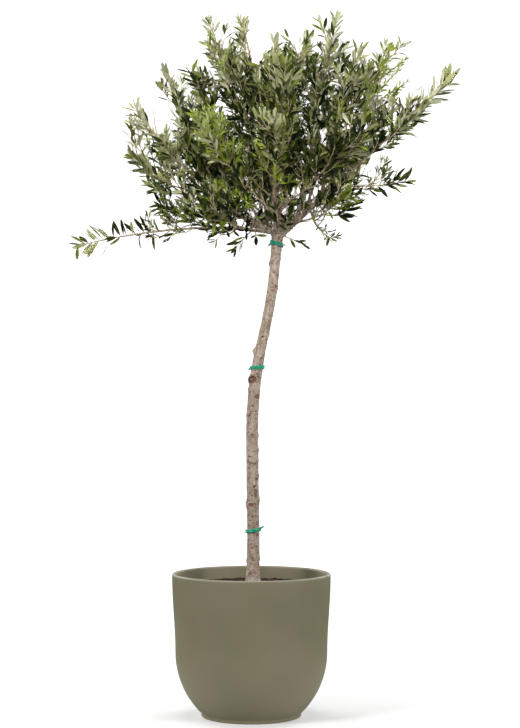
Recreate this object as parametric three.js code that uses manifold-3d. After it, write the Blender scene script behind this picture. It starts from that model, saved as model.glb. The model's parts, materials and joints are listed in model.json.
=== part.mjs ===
// A standard olive tree in a round planter: a bare leaning stem with three plant ties, a head of
// boughs that each end in a mass of leafy shoots, the potting soil that it stands in, and the planter.
// Millimetres, +Z up. The origin is the middle of the planter's flat underside, +X is to the right
// and +Y to the back of the tree's front view.
import * as THREE from "three";
import { mergeVertices } from "three/addons/utils/BufferGeometryUtils.js";
import Module from "manifold-3d";

const wasm = await Module();
wasm.setup();

const GAP = 0.3; // between pieces that touch

// ---- Planter and soil ----

const POT_HEIGHT = 312;
const POT_RADIUS = 175; // outside, at the rim
const POT_WAIST_HEIGHT = 140; // where the wall starts to curve in to the foot
const POT_WAIST_RADIUS = 167.5;
const FOOT_RADIUS = 110;
const FOOT_HEIGHT = 7; // of the short upright step under the curve
const WALL = 10;
const LIP_RADIUS = 5; // of the rounded rim, half the wall
const FLOOR_THICKNESS = 14;
const POT_SIDES = 32;
const WALL_CROWDING = 1.35; // how much closer together the rings are near the foot
const FOOT_CHAMFER = 2;
const SOIL_EDGE_HEIGHT = 285;
const SOIL_MOUND = 6; // higher round the stem than at the wall
const SOIL_MOUND_RADIUS = 34; // of the mound's flat top

// ---- Stem ----

// The stem's centre line: x at a height. It stands straight, kinks to the right, then stands again.
const STEM_COURSE = [
  { z: SOIL_EDGE_HEIGHT + SOIL_MOUND + GAP, x: 3.5, y: 0 },
  { z: 400, x: 4.2, y: 1 },
  { z: 560, x: 2.2, y: -3 },
  { z: 650, x: 2.2, y: -2 },
  { z: 730, x: 8, y: 2 },
  { z: 800, x: 19, y: 4 },
  { z: 880, x: 36, y: 1 },
  { z: 950, x: 47.5, y: -2 },
  { z: 1066, x: 58.5, y: 0 },
];
const FLARE_TOP = 303; // of the root flare
const STEM_RADII = [
  { z: 291, r: 19 },
  { z: FLARE_TOP, r: 15.6 },
  { z: 325, r: 14 },
  { z: 650, r: 13.3 },
  { z: 760, r: 13 },
  { z: 830, r: 11.6 },
  { z: 990, r: 11.4 },
  { z: 1040, r: 12 },
  { z: 1066, r: 14.5 },
];
// Swellings left by cut side shoots: height, bearing round the stem, how far they stand out, reach.
const STEM_KNOTS = [
  { z: 339, bearing: 190, out: 2.4, reach: 8 },
  { z: 345, bearing: 350, out: 2, reach: 8 },
  { z: 464, bearing: 205, out: 3.4, reach: 13 },
  { z: 474, bearing: 345, out: 2.4, reach: 12 },
  { z: 526, bearing: 350, out: 2, reach: 8 },
  { z: 584, bearing: 352, out: 2, reach: 7 },
  { z: 615, bearing: 350, out: 2, reach: 7 },
  { z: 659, bearing: 212, out: 2.6, reach: 11 },
  { z: 702, bearing: 315, out: 2.2, reach: 8 },
  { z: 715, bearing: 185, out: 2.6, reach: 7 },
  { z: 738, bearing: 222, out: 5.6, reach: 14 },
  { z: 800, bearing: 182, out: 5.4, reach: 8 },
  { z: 841, bearing: 355, out: 2.2, reach: 6 },
  { z: 944, bearing: 335, out: 2.8, reach: 10 },
  { z: 996, bearing: 188, out: 3.2, reach: 8 },
];
const STEM_SIDES = 12;
const STEM_RING_STEP = 30;

// Plant ties round the stem: height, the slope of the band across the front, and how far the band
// keeps off the stem's own radius, which is more beside a knot.
const TIES = [
  { name: "tie_low", z: 406, slope: -9, slack: 0.25 },
  { name: "tie_middle", z: 766, slope: -12, slack: 0.95 },
  { name: "tie_high", z: 1040, slope: 15, slack: 0.75 },
];
const TIE_THICKNESS = 5.5;
const TIE_SIDES = 5;
const TIE_STEPS = 14;

// ---- Head ----

// Each branch leaves its parent at a share of the parent's length. The tip of its last leaf is `out`
// mm from the fork towards its bearing (0 is +X, 90 is +Y) and `up` mm above the fork. `lift` is the
// share of the rise that comes before the spread. The first `bare` share is a bough, `radius` thick
// at its root. The rest carries a mass of foliage that reaches `spread` to its sides.
const BRANCHES = [
  // name, parent, at, bearing, out, up, lift, bare, radius, spread
  ["top_middle", "stem", 1, 141, 110, 503, 0.62, 0.4, 9.5, 125],
  ["right_reach", "stem", 0.982, 354, 396, 347, 0.44, 0.4, 9, 115],
  ["long_low_left", "stem", 0.996, 184, 472, -42, -0.9, 0.4, 5.5, 85],
  ["left", "stem", 0.995, 185, 328, 283, 0.2, 0.36, 7, 130],
  ["front", "stem", 0.99, 268, 300, 215, 0.35, 0.36, 6.5, 135],
  ["back", "stem", 0.985, 88, 305, 250, 0.3, 0.36, 7, 135],
  ["top_left", "top_middle", 0.22, 198, 162, 471, 0.3, 0.3, 6, 125],
  ["top_front", "top_middle", 0.16, 266, 125, 413, 0.35, 0.3, 5, 125],
  ["top_back", "top_middle", 0.3, 54, 125, 470, 0.3, 0.3, 5.5, 125],
  ["top_right", "right_reach", 0.12, 347, 136, 485, 0.45, 0.3, 6, 125],
  ["upper_right", "right_reach", 0.22, 6, 262, 436, 0.4, 0.26, 5, 135],
  ["inner_right", "right_reach", 0.16, 338, 196, 405, 0.4, 0.28, 4.5, 120],
  ["low_right", "right_reach", 0.34, 5, 306, 118, 0.1, 0.26, 4, 105],
  ["hanging_right", "right_reach", 0.2, 327, 165, -10, 1.6, 0.36, 3.5, 52],
  ["upper_left", "left", 0.22, 167, 268, 384, 0.2, 0.26, 5, 125],
  ["inner_left", "left", 0.12, 184, 200, 372, 0.4, 0.28, 4.5, 120],
  ["mid_left", "left", 0.3, 178, 336, 180, 0.1, 0.26, 4.5, 120],
  ["low_left", "long_low_left", 0.2, 172, 300, 88, 0, 0.26, 4, 120],
  ["low_front_left", "long_low_left", 0.1, 228, 250, 30, 0.1, 0.26, 4, 125],
  ["upper_front", "front", 0.16, 274, 215, 345, 0.4, 0.28, 4.5, 125],
  ["front_left", "front", 0.22, 232, 300, 235, 0.25, 0.28, 4.5, 130],
  ["front_right", "front", 0.28, 310, 300, 220, 0.25, 0.28, 4.5, 130],
  ["upper_back", "back", 0.18, 96, 215, 372, 0.4, 0.28, 4.5, 125],
  ["back_left", "back", 0.22, 130, 305, 240, 0.25, 0.28, 4.5, 130],
  ["back_right", "back", 0.28, 46, 305, 225, 0.25, 0.28, 4.5, 130],
  ["low_back", "back", 0.14, 100, 260, 60, 0.3, 0.28, 4, 125],
  ["low_front_right", "right_reach", 0.1, 316, 225, 66, 0.1, 0.28, 4, 120],
].map(([name, from, at, bearing, out, up, lift, bare, radius, spread]) => ({
  name, from, at, bearing, out, up, lift, bare, radius, spread,
}));
const CONTROL_SPREAD = 0.45; // of a branch's way out that its control point takes
const WANDER = 5; // how far a branch strays from its curve
const WANDER_PACE = 9; // radians of that wander along its length
const BOUGH_STEPS = 3;
const BOUGH_SIDES = 5;
const BOUGH_TIP_SHARE = 0.5; // of its root's radius

// ---- Shoots and leaves ----

// A twig bears at its nodes, which lie between two shares of its length.
const STEM_NODES = { count: 4, first: 0.1, last: 0.86 }; // two side shoots and two leaves at each
const SHOOT_NODES = { count: 2, first: 0.5, last: 0.86 }; // two leaves at each
const NODE_LENGTH = 7; // of the short stretch of a twig that leaves grow out of
const NODE_TURN = 90; // degrees between one node and the next
const FIRST_TURN = 50; // degrees between the first nodes of one mass and the next
const STEM_TAPER = 0.6; // share of its radius that a mass's stem loses
const SHOOT_TAPER = 0.5;
const SHOOT_RADIUS = 1.7;
const SHOOT_ANGLE = 54; // degrees between a side shoot and its stem
const SHOOT_RISE = 0.35; // how strongly a shoot turns up
const SHOOT_STEPS = 3;
const SHOOT_REACH = { least: 0.8, more: 0.35, loss: 0.4 }; // shares of its mass's spread
const SHOOT_TRIES = [1, 0.85, 0.7, 0.55, 0.4]; // shares of its length that a shoot is cut to
const LEAF_LENGTH = 78; // larger than life, because there are fewer of them
const LEAF_WIDTH = 20;
const LEAF_THICKNESS = 2.4;
const LEAF_BELT = 0.5; // share of its length where a leaf is widest
const LEAF_ANGLE = { least: 39, more: 16 }; // degrees between a leaf and its twig
const LEAF_SIZE = { least: 0.92, more: 0.3, loss: 0.3 }; // of LEAF_LENGTH, less towards the tip
const LAST_LEAF = 0.72; // length of the leaf at the tip of a twig, as a share of the others'
const FULL_SPREAD = 120; // the spread under which a mass has smaller leaves
const SPACE_MARGIN = 1; // between a leaf and the edge of its mass's space
const LIMB_MARGIN = 7; // between a leaf's or twig's middle and a limb
const LEAF_MARGIN = 5; // between two leaves' middles
const CURVE_STEPS = 12;

const DEGREE = Math.PI / 180;
const UP = new THREE.Vector3(0, 0, 1);
const vec = (x, y, z) => new THREE.Vector3(x, y, z);

// ---- Materials ----

const paint = (color, roughness) =>
  new THREE.MeshStandardMaterial({ color, roughness, metalness: 0 });
const MATERIALS = {
  planter: paint(0x77755c, 0.62),
  soil: paint(0x2e231b, 0.95),
  bark: paint(0x9c8b76, 0.9),
  foliage: paint(0x5f6c42, 0.6),
  tie: paint(0x17a07a, 0.45),
};

// ---- Solids ----

// A closed manifold-3d solid of a three.js geometry.
function solidOf(geometry) {
  const bare = geometry.clone();
  bare.deleteAttribute("normal");
  bare.deleteAttribute("uv");
  const merged = mergeVertices(bare, 1e-4);
  return new wasm.Manifold(
    new wasm.Mesh({
      numProp: 3,
      vertProperties: new Float32Array(merged.attributes.position.array),
      triVerts: new Uint32Array(merged.index.array),
    }),
  );
}

// The three.js geometry of a manifold-3d solid.
function geometryOf(solid) {
  const mesh = solid.getMesh();
  const geometry = new THREE.BufferGeometry();
  geometry.setAttribute("position", new THREE.BufferAttribute(mesh.vertProperties, 3));
  geometry.setIndex(new THREE.BufferAttribute(mesh.triVerts, 1));
  geometry.computeVertexNormals();
  return geometry;
}

// The largest of the bodies that a cut has left.
function largestBody(solid) {
  return solid.decompose().reduce((best, body) => (body.volume() > best.volume() ? body : best));
}

const group = new THREE.Group();

function addNode(name, geometry, material) {
  const mesh = new THREE.Mesh(geometry, material);
  mesh.name = name;
  group.add(mesh);
}

// A value between 0 and 1 that repeats for the same seed.
function seededRandom(seed) {
  let state = seed >>> 0;
  return () => {
    state = (state + 0x6d2b79f5) >>> 0;
    let t = state;
    t = Math.imul(t ^ (t >>> 15), t | 1);
    t ^= t + Math.imul(t ^ (t >>> 7), t | 61);
    return ((t ^ (t >>> 14)) >>> 0) / 4294967296;
  };
}

// A tube through a list of centres with a radius at each, closed by flat ends. `relief` is what the
// skin stands out by at a ring and a bearing.
function tubeGeometry(centres, radii, sides, relief = () => 0) {
  const points = [];
  const rings = centres.length;
  let across = null;
  centres.forEach((centre, i) => {
    const ahead = centres[Math.min(i + 1, rings - 1)];
    const behind = centres[Math.max(i - 1, 0)];
    const along = ahead.clone().sub(behind).normalize();
    if (!across) across = Math.abs(along.z) < 0.9 ? UP.clone() : vec(0, 1, 0).cross(along);
    across = across.clone().addScaledVector(along, -across.dot(along)).normalize();
    const other = along.clone().cross(across);
    for (let k = 0; k < sides; k++) {
      const turn = (k / sides) * 2 * Math.PI;
      const reach = radii[i] + relief(centre, turn);
      points.push(
        centre
          .clone()
          .addScaledVector(across, Math.cos(turn) * reach)
          .addScaledVector(other, Math.sin(turn) * reach),
      );
    }
  });
  points.push(centres[0].clone(), centres[rings - 1].clone());
  const index = [];
  const first = rings * sides;
  for (let i = 0; i < rings - 1; i++)
    for (let k = 0; k < sides; k++) {
      const a = i * sides + k;
      const b = i * sides + ((k + 1) % sides);
      index.push(a, b, b + sides, a, b + sides, a + sides);
    }
  for (let k = 0; k < sides; k++) {
    const next = (k + 1) % sides;
    const last = (rings - 1) * sides;
    index.push(first, next, k, first + 1, last + k, last + next);
  }
  const geometry = new THREE.BufferGeometry().setFromPoints(points);
  geometry.setIndex(index);
  return geometry;
}

// The value at a height of a table with rows of z and a key, joined by straight lines.
function atHeight(table, key, z) {
  const above = table.findIndex((row) => row.z >= z);
  if (above <= 0) return table[above === 0 ? 0 : table.length - 1][key];
  const low = table[above - 1];
  const high = table[above];
  return THREE.MathUtils.lerp(low[key], high[key], (z - low.z) / (high.z - low.z));
}

// ---- Planter and soil ----

// The outside of the wall at a height: an arc up to the waist, then a slight S-curve to the rim.
function potRadius(z) {
  if (z >= POT_WAIST_HEIGHT) {
    const share = (z - POT_WAIST_HEIGHT) / (POT_HEIGHT - LIP_RADIUS - POT_WAIST_HEIGHT);
    const eased = THREE.MathUtils.smoothstep(share, 0, 1);
    return POT_WAIST_RADIUS + (POT_RADIUS - POT_WAIST_RADIUS) * eased;
  }
  const inset = POT_WAIST_RADIUS - FOOT_RADIUS;
  const drop = POT_WAIST_HEIGHT - FOOT_HEIGHT;
  const arc = (inset * inset + drop * drop) / (2 * inset);
  return POT_WAIST_RADIUS - arc + Math.sqrt(arc * arc - (POT_WAIST_HEIGHT - z) ** 2);
}

const innerRadius = (z) => potRadius(z) - WALL;

// Heights from low to high, closer together where the wall curves most.
function wallHeights(low, high, steps) {
  return Array.from({ length: steps + 1 }, (_, i) => low + (high - low) * (i / steps) ** WALL_CROWDING);
}

const innerHeights = wallHeights(FLOOR_THICKNESS, SOIL_EDGE_HEIGHT, 5);

function potProfile() {
  const lipHeight = POT_HEIGHT - LIP_RADIUS;
  const points = [
    [0, 0],
    [FOOT_RADIUS - FOOT_CHAMFER, 0],
    [FOOT_RADIUS, FOOT_CHAMFER],
  ];
  wallHeights(FOOT_HEIGHT, lipHeight, 8).forEach((z) => points.push([potRadius(z), z]));
  [45, 90, 135].forEach((degrees) => {
    const out = LIP_RADIUS * Math.cos(degrees * DEGREE);
    const up = LIP_RADIUS * Math.sin(degrees * DEGREE);
    points.push([POT_RADIUS - LIP_RADIUS + out, lipHeight + up]);
  });
  [...innerHeights, lipHeight].reverse().forEach((z) => points.push([innerRadius(z), z]));
  points.push([0, FLOOR_THICKNESS]);
  return points;
}

function soilProfile() {
  const points = [[0, FLOOR_THICKNESS + GAP]];
  innerHeights.forEach((z) => points.push([innerRadius(z) - GAP, Math.max(z, FLOOR_THICKNESS + GAP)]));
  points.push([SOIL_MOUND_RADIUS, SOIL_EDGE_HEIGHT + SOIL_MOUND]);
  points.push([0, SOIL_EDGE_HEIGHT + SOIL_MOUND]);
  return points;
}

// A profile of [radius, height] pairs turned about +Z.
function turned(profile) {
  const lathe = new THREE.LatheGeometry(
    profile.map(([r, z]) => new THREE.Vector2(r, z)),
    POT_SIDES,
  );
  return lathe.rotateX(Math.PI / 2);
}

addNode("planter", turned(potProfile()), MATERIALS.planter);
addNode("soil", turned(soilProfile()), MATERIALS.soil);

// ---- Stem and ties ----

const stemCurve = new THREE.CatmullRomCurve3(STEM_COURSE.map(({ x, y, z }) => vec(x, y, z)));
const stemFoot = STEM_COURSE[0].z;
const stemTop = STEM_COURSE[STEM_COURSE.length - 1].z;

// The stem's centre at a height.
function stemCentre(z) {
  let low = 0;
  let high = 1;
  for (let i = 0; i < 30; i++) {
    const middle = (low + high) / 2;
    if (stemCurve.getPoint(middle).z < z) low = middle;
    else high = middle;
  }
  return stemCurve.getPoint(high);
}

function stemRelief(centre, turn) {
  return STEM_KNOTS.reduce((sum, knot) => {
    const round = turn - knot.bearing * DEGREE;
    const across = Math.atan2(Math.sin(round), Math.cos(round)) * atHeight(STEM_RADII, "r", centre.z);
    const distance = Math.hypot(centre.z - knot.z, across);
    return sum + knot.out * Math.exp(-2 * (distance / knot.reach) ** 2);
  }, 0);
}

// Ring heights: even steps, with a ring at the flare, each knot and each tie in place of the nearest.
function stemHeights() {
  const steps = Math.round((stemTop - stemFoot) / STEM_RING_STEP);
  const named = [...STEM_KNOTS, ...TIES].map(({ z }) => z).concat(FLARE_TOP);
  const between = Array.from({ length: steps - 1 }, (_, i) =>
    THREE.MathUtils.lerp(stemFoot, stemTop, (i + 1) / steps),
  ).filter((z) => named.every((taken) => Math.abs(taken - z) > STEM_RING_STEP / 3));
  return [stemFoot, ...between, ...named, stemTop].sort((a, b) => a - b);
}

function stemSolid(grow) {
  const heights = stemHeights();
  const centres = heights.map(stemCentre);
  centres[0].z -= grow;
  centres[centres.length - 1].z += grow;
  const radii = heights.map((z) => atHeight(STEM_RADII, "r", z) + grow);
  return solidOf(tubeGeometry(centres, radii, STEM_SIDES, stemRelief));
}

// A band square to the stem, then turned by its slope about the front-to-back axis.
function addTie({ name, z, slope, slack }) {
  const ring = atHeight(STEM_RADII, "r", z) / Math.cos(slope * DEGREE) + slack + TIE_THICKNESS / 2;
  const band = new THREE.TorusGeometry(ring, TIE_THICKNESS / 2, TIE_SIDES, TIE_STEPS);
  const centre = stemCentre(z);
  const along = stemCentre(z + 10).sub(stemCentre(z - 10)).normalize();
  band.applyQuaternion(new THREE.Quaternion().setFromUnitVectors(UP, along));
  band.rotateY(slope * DEGREE);
  band.translate(centre.x, centre.y, centre.z);
  addNode(name, band, MATERIALS.tie);
}

// ---- Boughs ----

const fork = stemCentre(stemTop);
const limbLines = []; // { centres, radii } of the stem and of each bough
const branches = new Map();

// The curve of a branch from its root on its parent to its tip, with a slight wander.
function branchCurve(branch, order) {
  const parent = branches.get(branch.from);
  const stemHeight = THREE.MathUtils.lerp(stemFoot, stemTop, branch.at);
  const root = parent ? parent.curve(branch.at) : stemCentre(stemHeight);
  const tip = vec(
    fork.x + branch.out * Math.cos(branch.bearing * DEGREE),
    fork.y + branch.out * Math.sin(branch.bearing * DEGREE),
    fork.z + branch.up,
  );
  const way = tip.clone().sub(root);
  const control = root.clone().add(
    vec(way.x * CONTROL_SPREAD, way.y * CONTROL_SPREAD, way.z * branch.lift),
  );
  const bend = new THREE.QuadraticBezierCurve3(root, control, tip);
  const side = way.clone().cross(UP).normalize();
  return (share) => {
    const stray = WANDER * Math.sin(share * Math.PI) * Math.sin(share * WANDER_PACE + order);
    return bend.getPoint(share).addScaledVector(side, stray);
  };
}

// A bough, or the space that it takes when it is grown on all sides.
function limbSolid(line, grow) {
  const centres = line.centres.map((centre) => centre.clone());
  const [first, second] = line.centres;
  const [beforeLast, last] = line.centres.slice(-2);
  centres[0].addScaledVector(first.clone().sub(second).normalize(), grow);
  centres[centres.length - 1].addScaledVector(last.clone().sub(beforeLast).normalize(), grow);
  const radii = line.radii.map((r) => r + grow);
  return solidOf(tubeGeometry(centres, radii, BOUGH_SIDES));
}

function addBough(branch, order, standing) {
  const curve = branchCurve(branch, order);
  const tipRadius = branch.radius * BOUGH_TIP_SHARE;
  const centres = [];
  const radii = [];
  for (let i = 0; i <= BOUGH_STEPS; i++) {
    const share = i / BOUGH_STEPS;
    centres.push(curve(share * branch.bare));
    radii.push(THREE.MathUtils.lerp(branch.radius, tipRadius, Math.sqrt(share)));
  }
  const line = { centres, radii };
  const cut = standing.reduce((solid, limb) => solid.subtract(limb), limbSolid(line, 0));
  addNode(`bough_${branch.name}`, geometryOf(largestBody(cut)), MATERIALS.bark);
  standing.push(limbSolid(line, GAP));
  limbLines.push(line);
  branches.set(branch.name, { ...branch, order, curve, tipRadius, line });
}

// ---- Masses of foliage ----

function distanceToSegment(point, a, b) {
  const along = b.clone().sub(a);
  const share = THREE.MathUtils.clamp(point.clone().sub(a).dot(along) / along.lengthSq(), 0, 1);
  return { distance: point.distanceTo(a.clone().addScaledVector(along, share)), share };
}

const distanceToLine = (point, line) =>
  Math.min(...line.slice(1).map((b, i) => distanceToSegment(point, line[i], b).distance));

// Whether a point is nearer to the mass's own stem than to any other, and within its spread.
function inSpace(point, mass) {
  const own = distanceToLine(point, mass.stem);
  if (own > mass.spread) return false;
  return masses.every(
    (other) => other === mass || distanceToLine(point, other.stem) > own + 2 * SPACE_MARGIN,
  );
}

function clearOfLimbs(point, margin) {
  return limbLines.every(({ centres, radii }) =>
    centres.slice(1).every((b, i) => {
      const { distance, share } = distanceToSegment(point, centres[i], b);
      return distance > THREE.MathUtils.lerp(radii[i], radii[i + 1], share) + margin;
    }),
  );
}

// A direction that leaves `along` by an angle, towards a turn round it.
function leaving(along, degrees, turn) {
  const across = along.clone().cross(Math.abs(along.z) < 0.95 ? UP : vec(1, 0, 0)).normalize();
  across.applyAxisAngle(along, turn * DEGREE);
  return along
    .clone()
    .multiplyScalar(Math.cos(degrees * DEGREE))
    .addScaledVector(across, Math.sin(degrees * DEGREE));
}

// A side shoot's points: it leaves its stem at an angle and turns up, more and more.
function shootLine(root, way, length) {
  const points = [root.clone()];
  const heading = way.clone();
  for (let i = 0; i < SHOOT_STEPS; i++) {
    heading.addScaledVector(UP, SHOOT_RISE / SHOOT_STEPS).normalize();
    points.push(points[i].clone().addScaledVector(heading, length / SHOOT_STEPS));
  }
  return points;
}

// The point and heading at a distance along a line.
function alongLine(line, distance) {
  let left = distance;
  for (let i = 1; i < line.length; i++) {
    const step = line[i].clone().sub(line[i - 1]);
    const length = step.length();
    if (left <= length || i === line.length - 1)
      return {
        point: line[i - 1].clone().addScaledVector(step, Math.min(left / length, 1)),
        heading: step.normalize(),
      };
    left -= length;
  }
}

const lineLength = (line) => line.slice(1).reduce((sum, b, i) => sum + b.distanceTo(line[i]), 0);

// A mass is one closed skin. Its twigs have three sides, and a leaf or a side shoot grows out of a
// facet of a node: a short stretch whose two rings are turned so that its facets face six ways.
function addRing(skin, centre, heading, radius, turn) {
  return [0, 120, 240].map((degrees) => {
    const reach = leaving(heading, 90, turn + degrees);
    return skin.points.push(centre.clone().addScaledVector(reach, radius)) - 1;
  });
}

// The facets between two rings of three points, paired so that they twist least and parted along
// the shorter diagonal. `apex` is 1 on a facet that points up the twig and -1 on one that points down.
function sleeve(skin, lower, upper) {
  const gap = (a, b) => skin.points[a].distanceTo(skin.points[b]);
  const twist = (shift) => lower.reduce((sum, from, k) => sum + gap(from, upper[(k + shift) % 3]), 0);
  const shift = [1, 2].reduce((best, tried) => (twist(tried) < twist(best) ? tried : best), 0);
  return lower.flatMap((from, k) => {
    const next = lower[(k + 1) % 3];
    const above = upper[(k + shift) % 3];
    const nextAbove = upper[(k + 1 + shift) % 3];
    const rising = gap(from, nextAbove) < gap(next, above);
    return [
      { corners: [from, next, rising ? nextAbove : above], apex: 1 },
      { corners: [rising ? from : next, nextAbove, above], apex: -1 },
    ];
  });
}

// A leaf from a triangle of the skin: a belt of two edges and a ridge at its widest, then its tip.
function addLeaf(skin, corners, { root, axis, side, length, width, ridge }) {
  const middle = root.clone().addScaledVector(axis, length * LEAF_BELT);
  const face = axis.clone().cross(side).multiplyScalar(ridge * LEAF_THICKNESS);
  const belt = [
    skin.points.push(middle.clone().addScaledVector(side, -width / 2)) - 1,
    skin.points.push(middle.clone().addScaledVector(side, width / 2)) - 1,
    skin.points.push(middle.clone().add(face)) - 1,
  ];
  if (ridge < 0) belt.reverse();
  const tip = skin.points.push(root.clone().addScaledVector(axis, length)) - 1;
  sleeve(skin, corners, belt).forEach((facet) => skin.faces.push(facet.corners));
  belt.forEach((from, k) => skin.faces.push([from, belt[(k + 1) % 3], tip]));
}

// The points that stand for a leaf: its tip, and three across it at its belt and on each side of it.
function leafSpots({ root, axis, side, length, width }) {
  const rows = [
    [LEAF_BELT / 2, width / 4],
    [LEAF_BELT, width / 2],
    [(1 + LEAF_BELT) / 2, width / 4],
  ];
  const spots = rows.flatMap(([share, half]) =>
    [-half, 0, half].map((across) =>
      root.clone().addScaledVector(axis, length * share).addScaledVector(side, across),
    ),
  );
  return [root.clone().addScaledVector(axis, length), ...spots];
}

// Whether a leaf keeps to its mass's space, and clear of the limbs, of other twigs and of the
// leaves that are there.
function leafFits(leaf, mass, skin) {
  const spots = leafSpots(leaf);
  const twigs = skin.twigs.filter((line) => line !== leaf.twig);
  const leaves = skin.leaves.filter((other) => leaf.root.distanceTo(other.root) > NODE_LENGTH);
  const taken = leaves.flatMap(leafSpots);
  return spots.every(
    (spot) =>
      inSpace(spot, mass) &&
      clearOfLimbs(spot, LIMB_MARGIN) &&
      twigs.every((line) => distanceToLine(spot, line) > LEAF_MARGIN) &&
      taken.every((place) => spot.distanceTo(place) > LEAF_MARGIN),
  );
}

// A leaf on a triangle of the skin, which stays bare where the leaf doesn't fit.
function tryLeaf(skin, mass, corners, { axis, side, length, ridge, twig }) {
  const root = middleOf(skin, corners);
  const width = (LEAF_WIDTH * length) / LEAF_LENGTH;
  const leaf = { root, axis, side, length, width, ridge, twig };
  if (leafFits(leaf, mass, skin)) {
    skin.leaves.push(leaf);
    addLeaf(skin, corners, leaf);
  } else skin.faces.push(corners);
}

// A side shoot from a triangle of the skin, as long as its mass's space and the limbs allow.
function tryShoot(skin, mass, corners, way, reach) {
  const root = middleOf(skin, corners);
  const line = SHOOT_TRIES.map((part) => shootLine(root, way, reach * part)).find((tried) =>
    tried.slice(1).every((spot) => inSpace(spot, mass) && clearOfLimbs(spot, LIMB_MARGIN)),
  );
  if (line) {
    skin.twigs.push(line);
    skin.shoots.push({ line, corners });
  } else skin.faces.push(corners);
}

const middleOf = (skin, corners) =>
  corners.reduce((sum, k) => sum.add(skin.points[k]), vec(0, 0, 0)).divideScalar(3);

// The way that a triangle of a twig's skin faces, square to the twig.
function facing(skin, corners, heading) {
  const [a, b, c] = corners.map((k) => skin.points[k]);
  const normal = b.clone().sub(a).cross(c.clone().sub(a));
  return normal.addScaledVector(heading, -normal.dot(heading)).normalize();
}

const towards = (heading, out, degrees) =>
  heading
    .clone()
    .multiplyScalar(Math.cos(degrees * DEGREE))
    .addScaledVector(out, Math.sin(degrees * DEGREE));

// A twig along a line from a ring of the skin, with a leaf at its tip. `bearers` says what grows
// from the six facets of a node, in their order round it.
function growTwig(skin, mass, start, { line, radius, taper, nodes, turn, bearers }, random) {
  const length = lineLength(line);
  let ring = start;
  for (let i = 0; i < nodes.count; i++) {
    const share = THREE.MathUtils.lerp(nodes.first, nodes.last, i / (nodes.count - 1));
    const middle = Math.max(length * share, NODE_LENGTH);
    const low = alongLine(line, middle - NODE_LENGTH / 2);
    const high = alongLine(line, middle + NODE_LENGTH / 2);
    const reach = radius * (1 - taper * share);
    const lower = addRing(skin, low.point, low.heading, reach, turn + i * NODE_TURN);
    const upper = addRing(skin, high.point, low.heading, reach, turn + i * NODE_TURN + 60);
    sleeve(skin, ring, lower).forEach((facet) => skin.faces.push(facet.corners));
    sleeve(skin, lower, upper).forEach(({ corners, apex }, place) => {
      const out = facing(skin, corners, low.heading);
      if (bearers[place]) bearers[place]({ corners, apex, out, heading: low.heading, share, line });
      else skin.faces.push(corners);
    });
    ring = upper;
  }
  const { heading } = alongLine(line, length);
  const side = leaving(heading, 90, 360 * random());
  tryLeaf(skin, mass, ring, { axis: heading, side, length: mass.lastLeaf, ridge: 1, twig: line });
}

function massGeometry(mass) {
  const random = seededRandom(1000 + mass.order);
  const skin = { points: [], faces: [], leaves: [], shoots: [], twigs: [mass.stem] };
  const leaf = ({ corners, apex, out, heading, share, line }) => {
    const axis = towards(heading, out, LEAF_ANGLE.least + LEAF_ANGLE.more * random());
    const side = axis.clone().cross(out).normalize();
    const size = LEAF_SIZE.least + LEAF_SIZE.more * random() - LEAF_SIZE.loss * share;
    tryLeaf(skin, mass, corners, { axis, side, length: mass.leafLength * size, ridge: apex, twig: line });
  };
  const shoot = ({ corners, out, heading, share }) => {
    const size = (SHOOT_REACH.least + SHOOT_REACH.more * random()) * (1 - SHOOT_REACH.loss * share);
    const way = towards(heading, out, SHOOT_ANGLE);
    tryShoot(skin, mass, corners, way, (mass.spread - mass.lastLeaf) * size);
  };
  const [before, end] = mass.line.centres.slice(-2);
  const onward = end.clone().sub(before).normalize();
  const turn = mass.order * FIRST_TURN;
  const foot = addRing(skin, end.clone().addScaledVector(onward, GAP), onward, mass.tipRadius, turn);
  skin.faces.push([foot[0], foot[2], foot[1]]);
  const stem = { line: mass.stem, radius: mass.tipRadius, taper: STEM_TAPER, nodes: STEM_NODES, turn };
  growTwig(skin, mass, foot, { ...stem, bearers: [shoot, null, leaf, shoot, null, leaf] }, random);
  skin.shoots.forEach(({ line, corners }) => {
    const twig = { line, radius: SHOOT_RADIUS, taper: SHOOT_TAPER, nodes: SHOOT_NODES };
    const bearers = [leaf, null, null, leaf, null, null];
    growTwig(skin, mass, corners, { ...twig, turn: 360 * random(), bearers }, random);
  });
  const geometry = new THREE.BufferGeometry().setFromPoints(skin.points);
  return geometry.setIndex(skin.faces.flat());
}

// ---- Assembly ----

addNode("stem", geometryOf(stemSolid(0)), MATERIALS.bark);
TIES.forEach(addTie);
const heights = stemHeights();
const stemRadii = heights.map((z) => atHeight(STEM_RADII, "r", z));
limbLines.push({ centres: heights.map(stemCentre), radii: stemRadii });
const standing = [stemSolid(GAP)];
BRANCHES.forEach((branch, order) => addBough(branch, order, standing));

const masses = [...branches.values()].map((branch) => {
  const shares = Array.from({ length: CURVE_STEPS + 1 }, (_, i) => i / CURVE_STEPS);
  const line = shares.map((share) => branch.curve(THREE.MathUtils.lerp(branch.bare, 1, share)));
  const leafLength = LEAF_LENGTH * Math.min(branch.spread / FULL_SPREAD, 1);
  const lastLeaf = LAST_LEAF * leafLength;
  const length = lineLength(line) - lastLeaf;
  const stem = shares.map((share) => alongLine(line, length * share).point);
  return { ...branch, leafLength, lastLeaf, stem };
});
masses.forEach((mass) => addNode(`foliage_${mass.name}`, massGeometry(mass), MATERIALS.foliage));

export default group;
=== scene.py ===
import json
from math import cos, exp, hypot, pi, radians, sin, sqrt, tan

import bpy
import numpy as np
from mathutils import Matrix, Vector, noise

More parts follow.
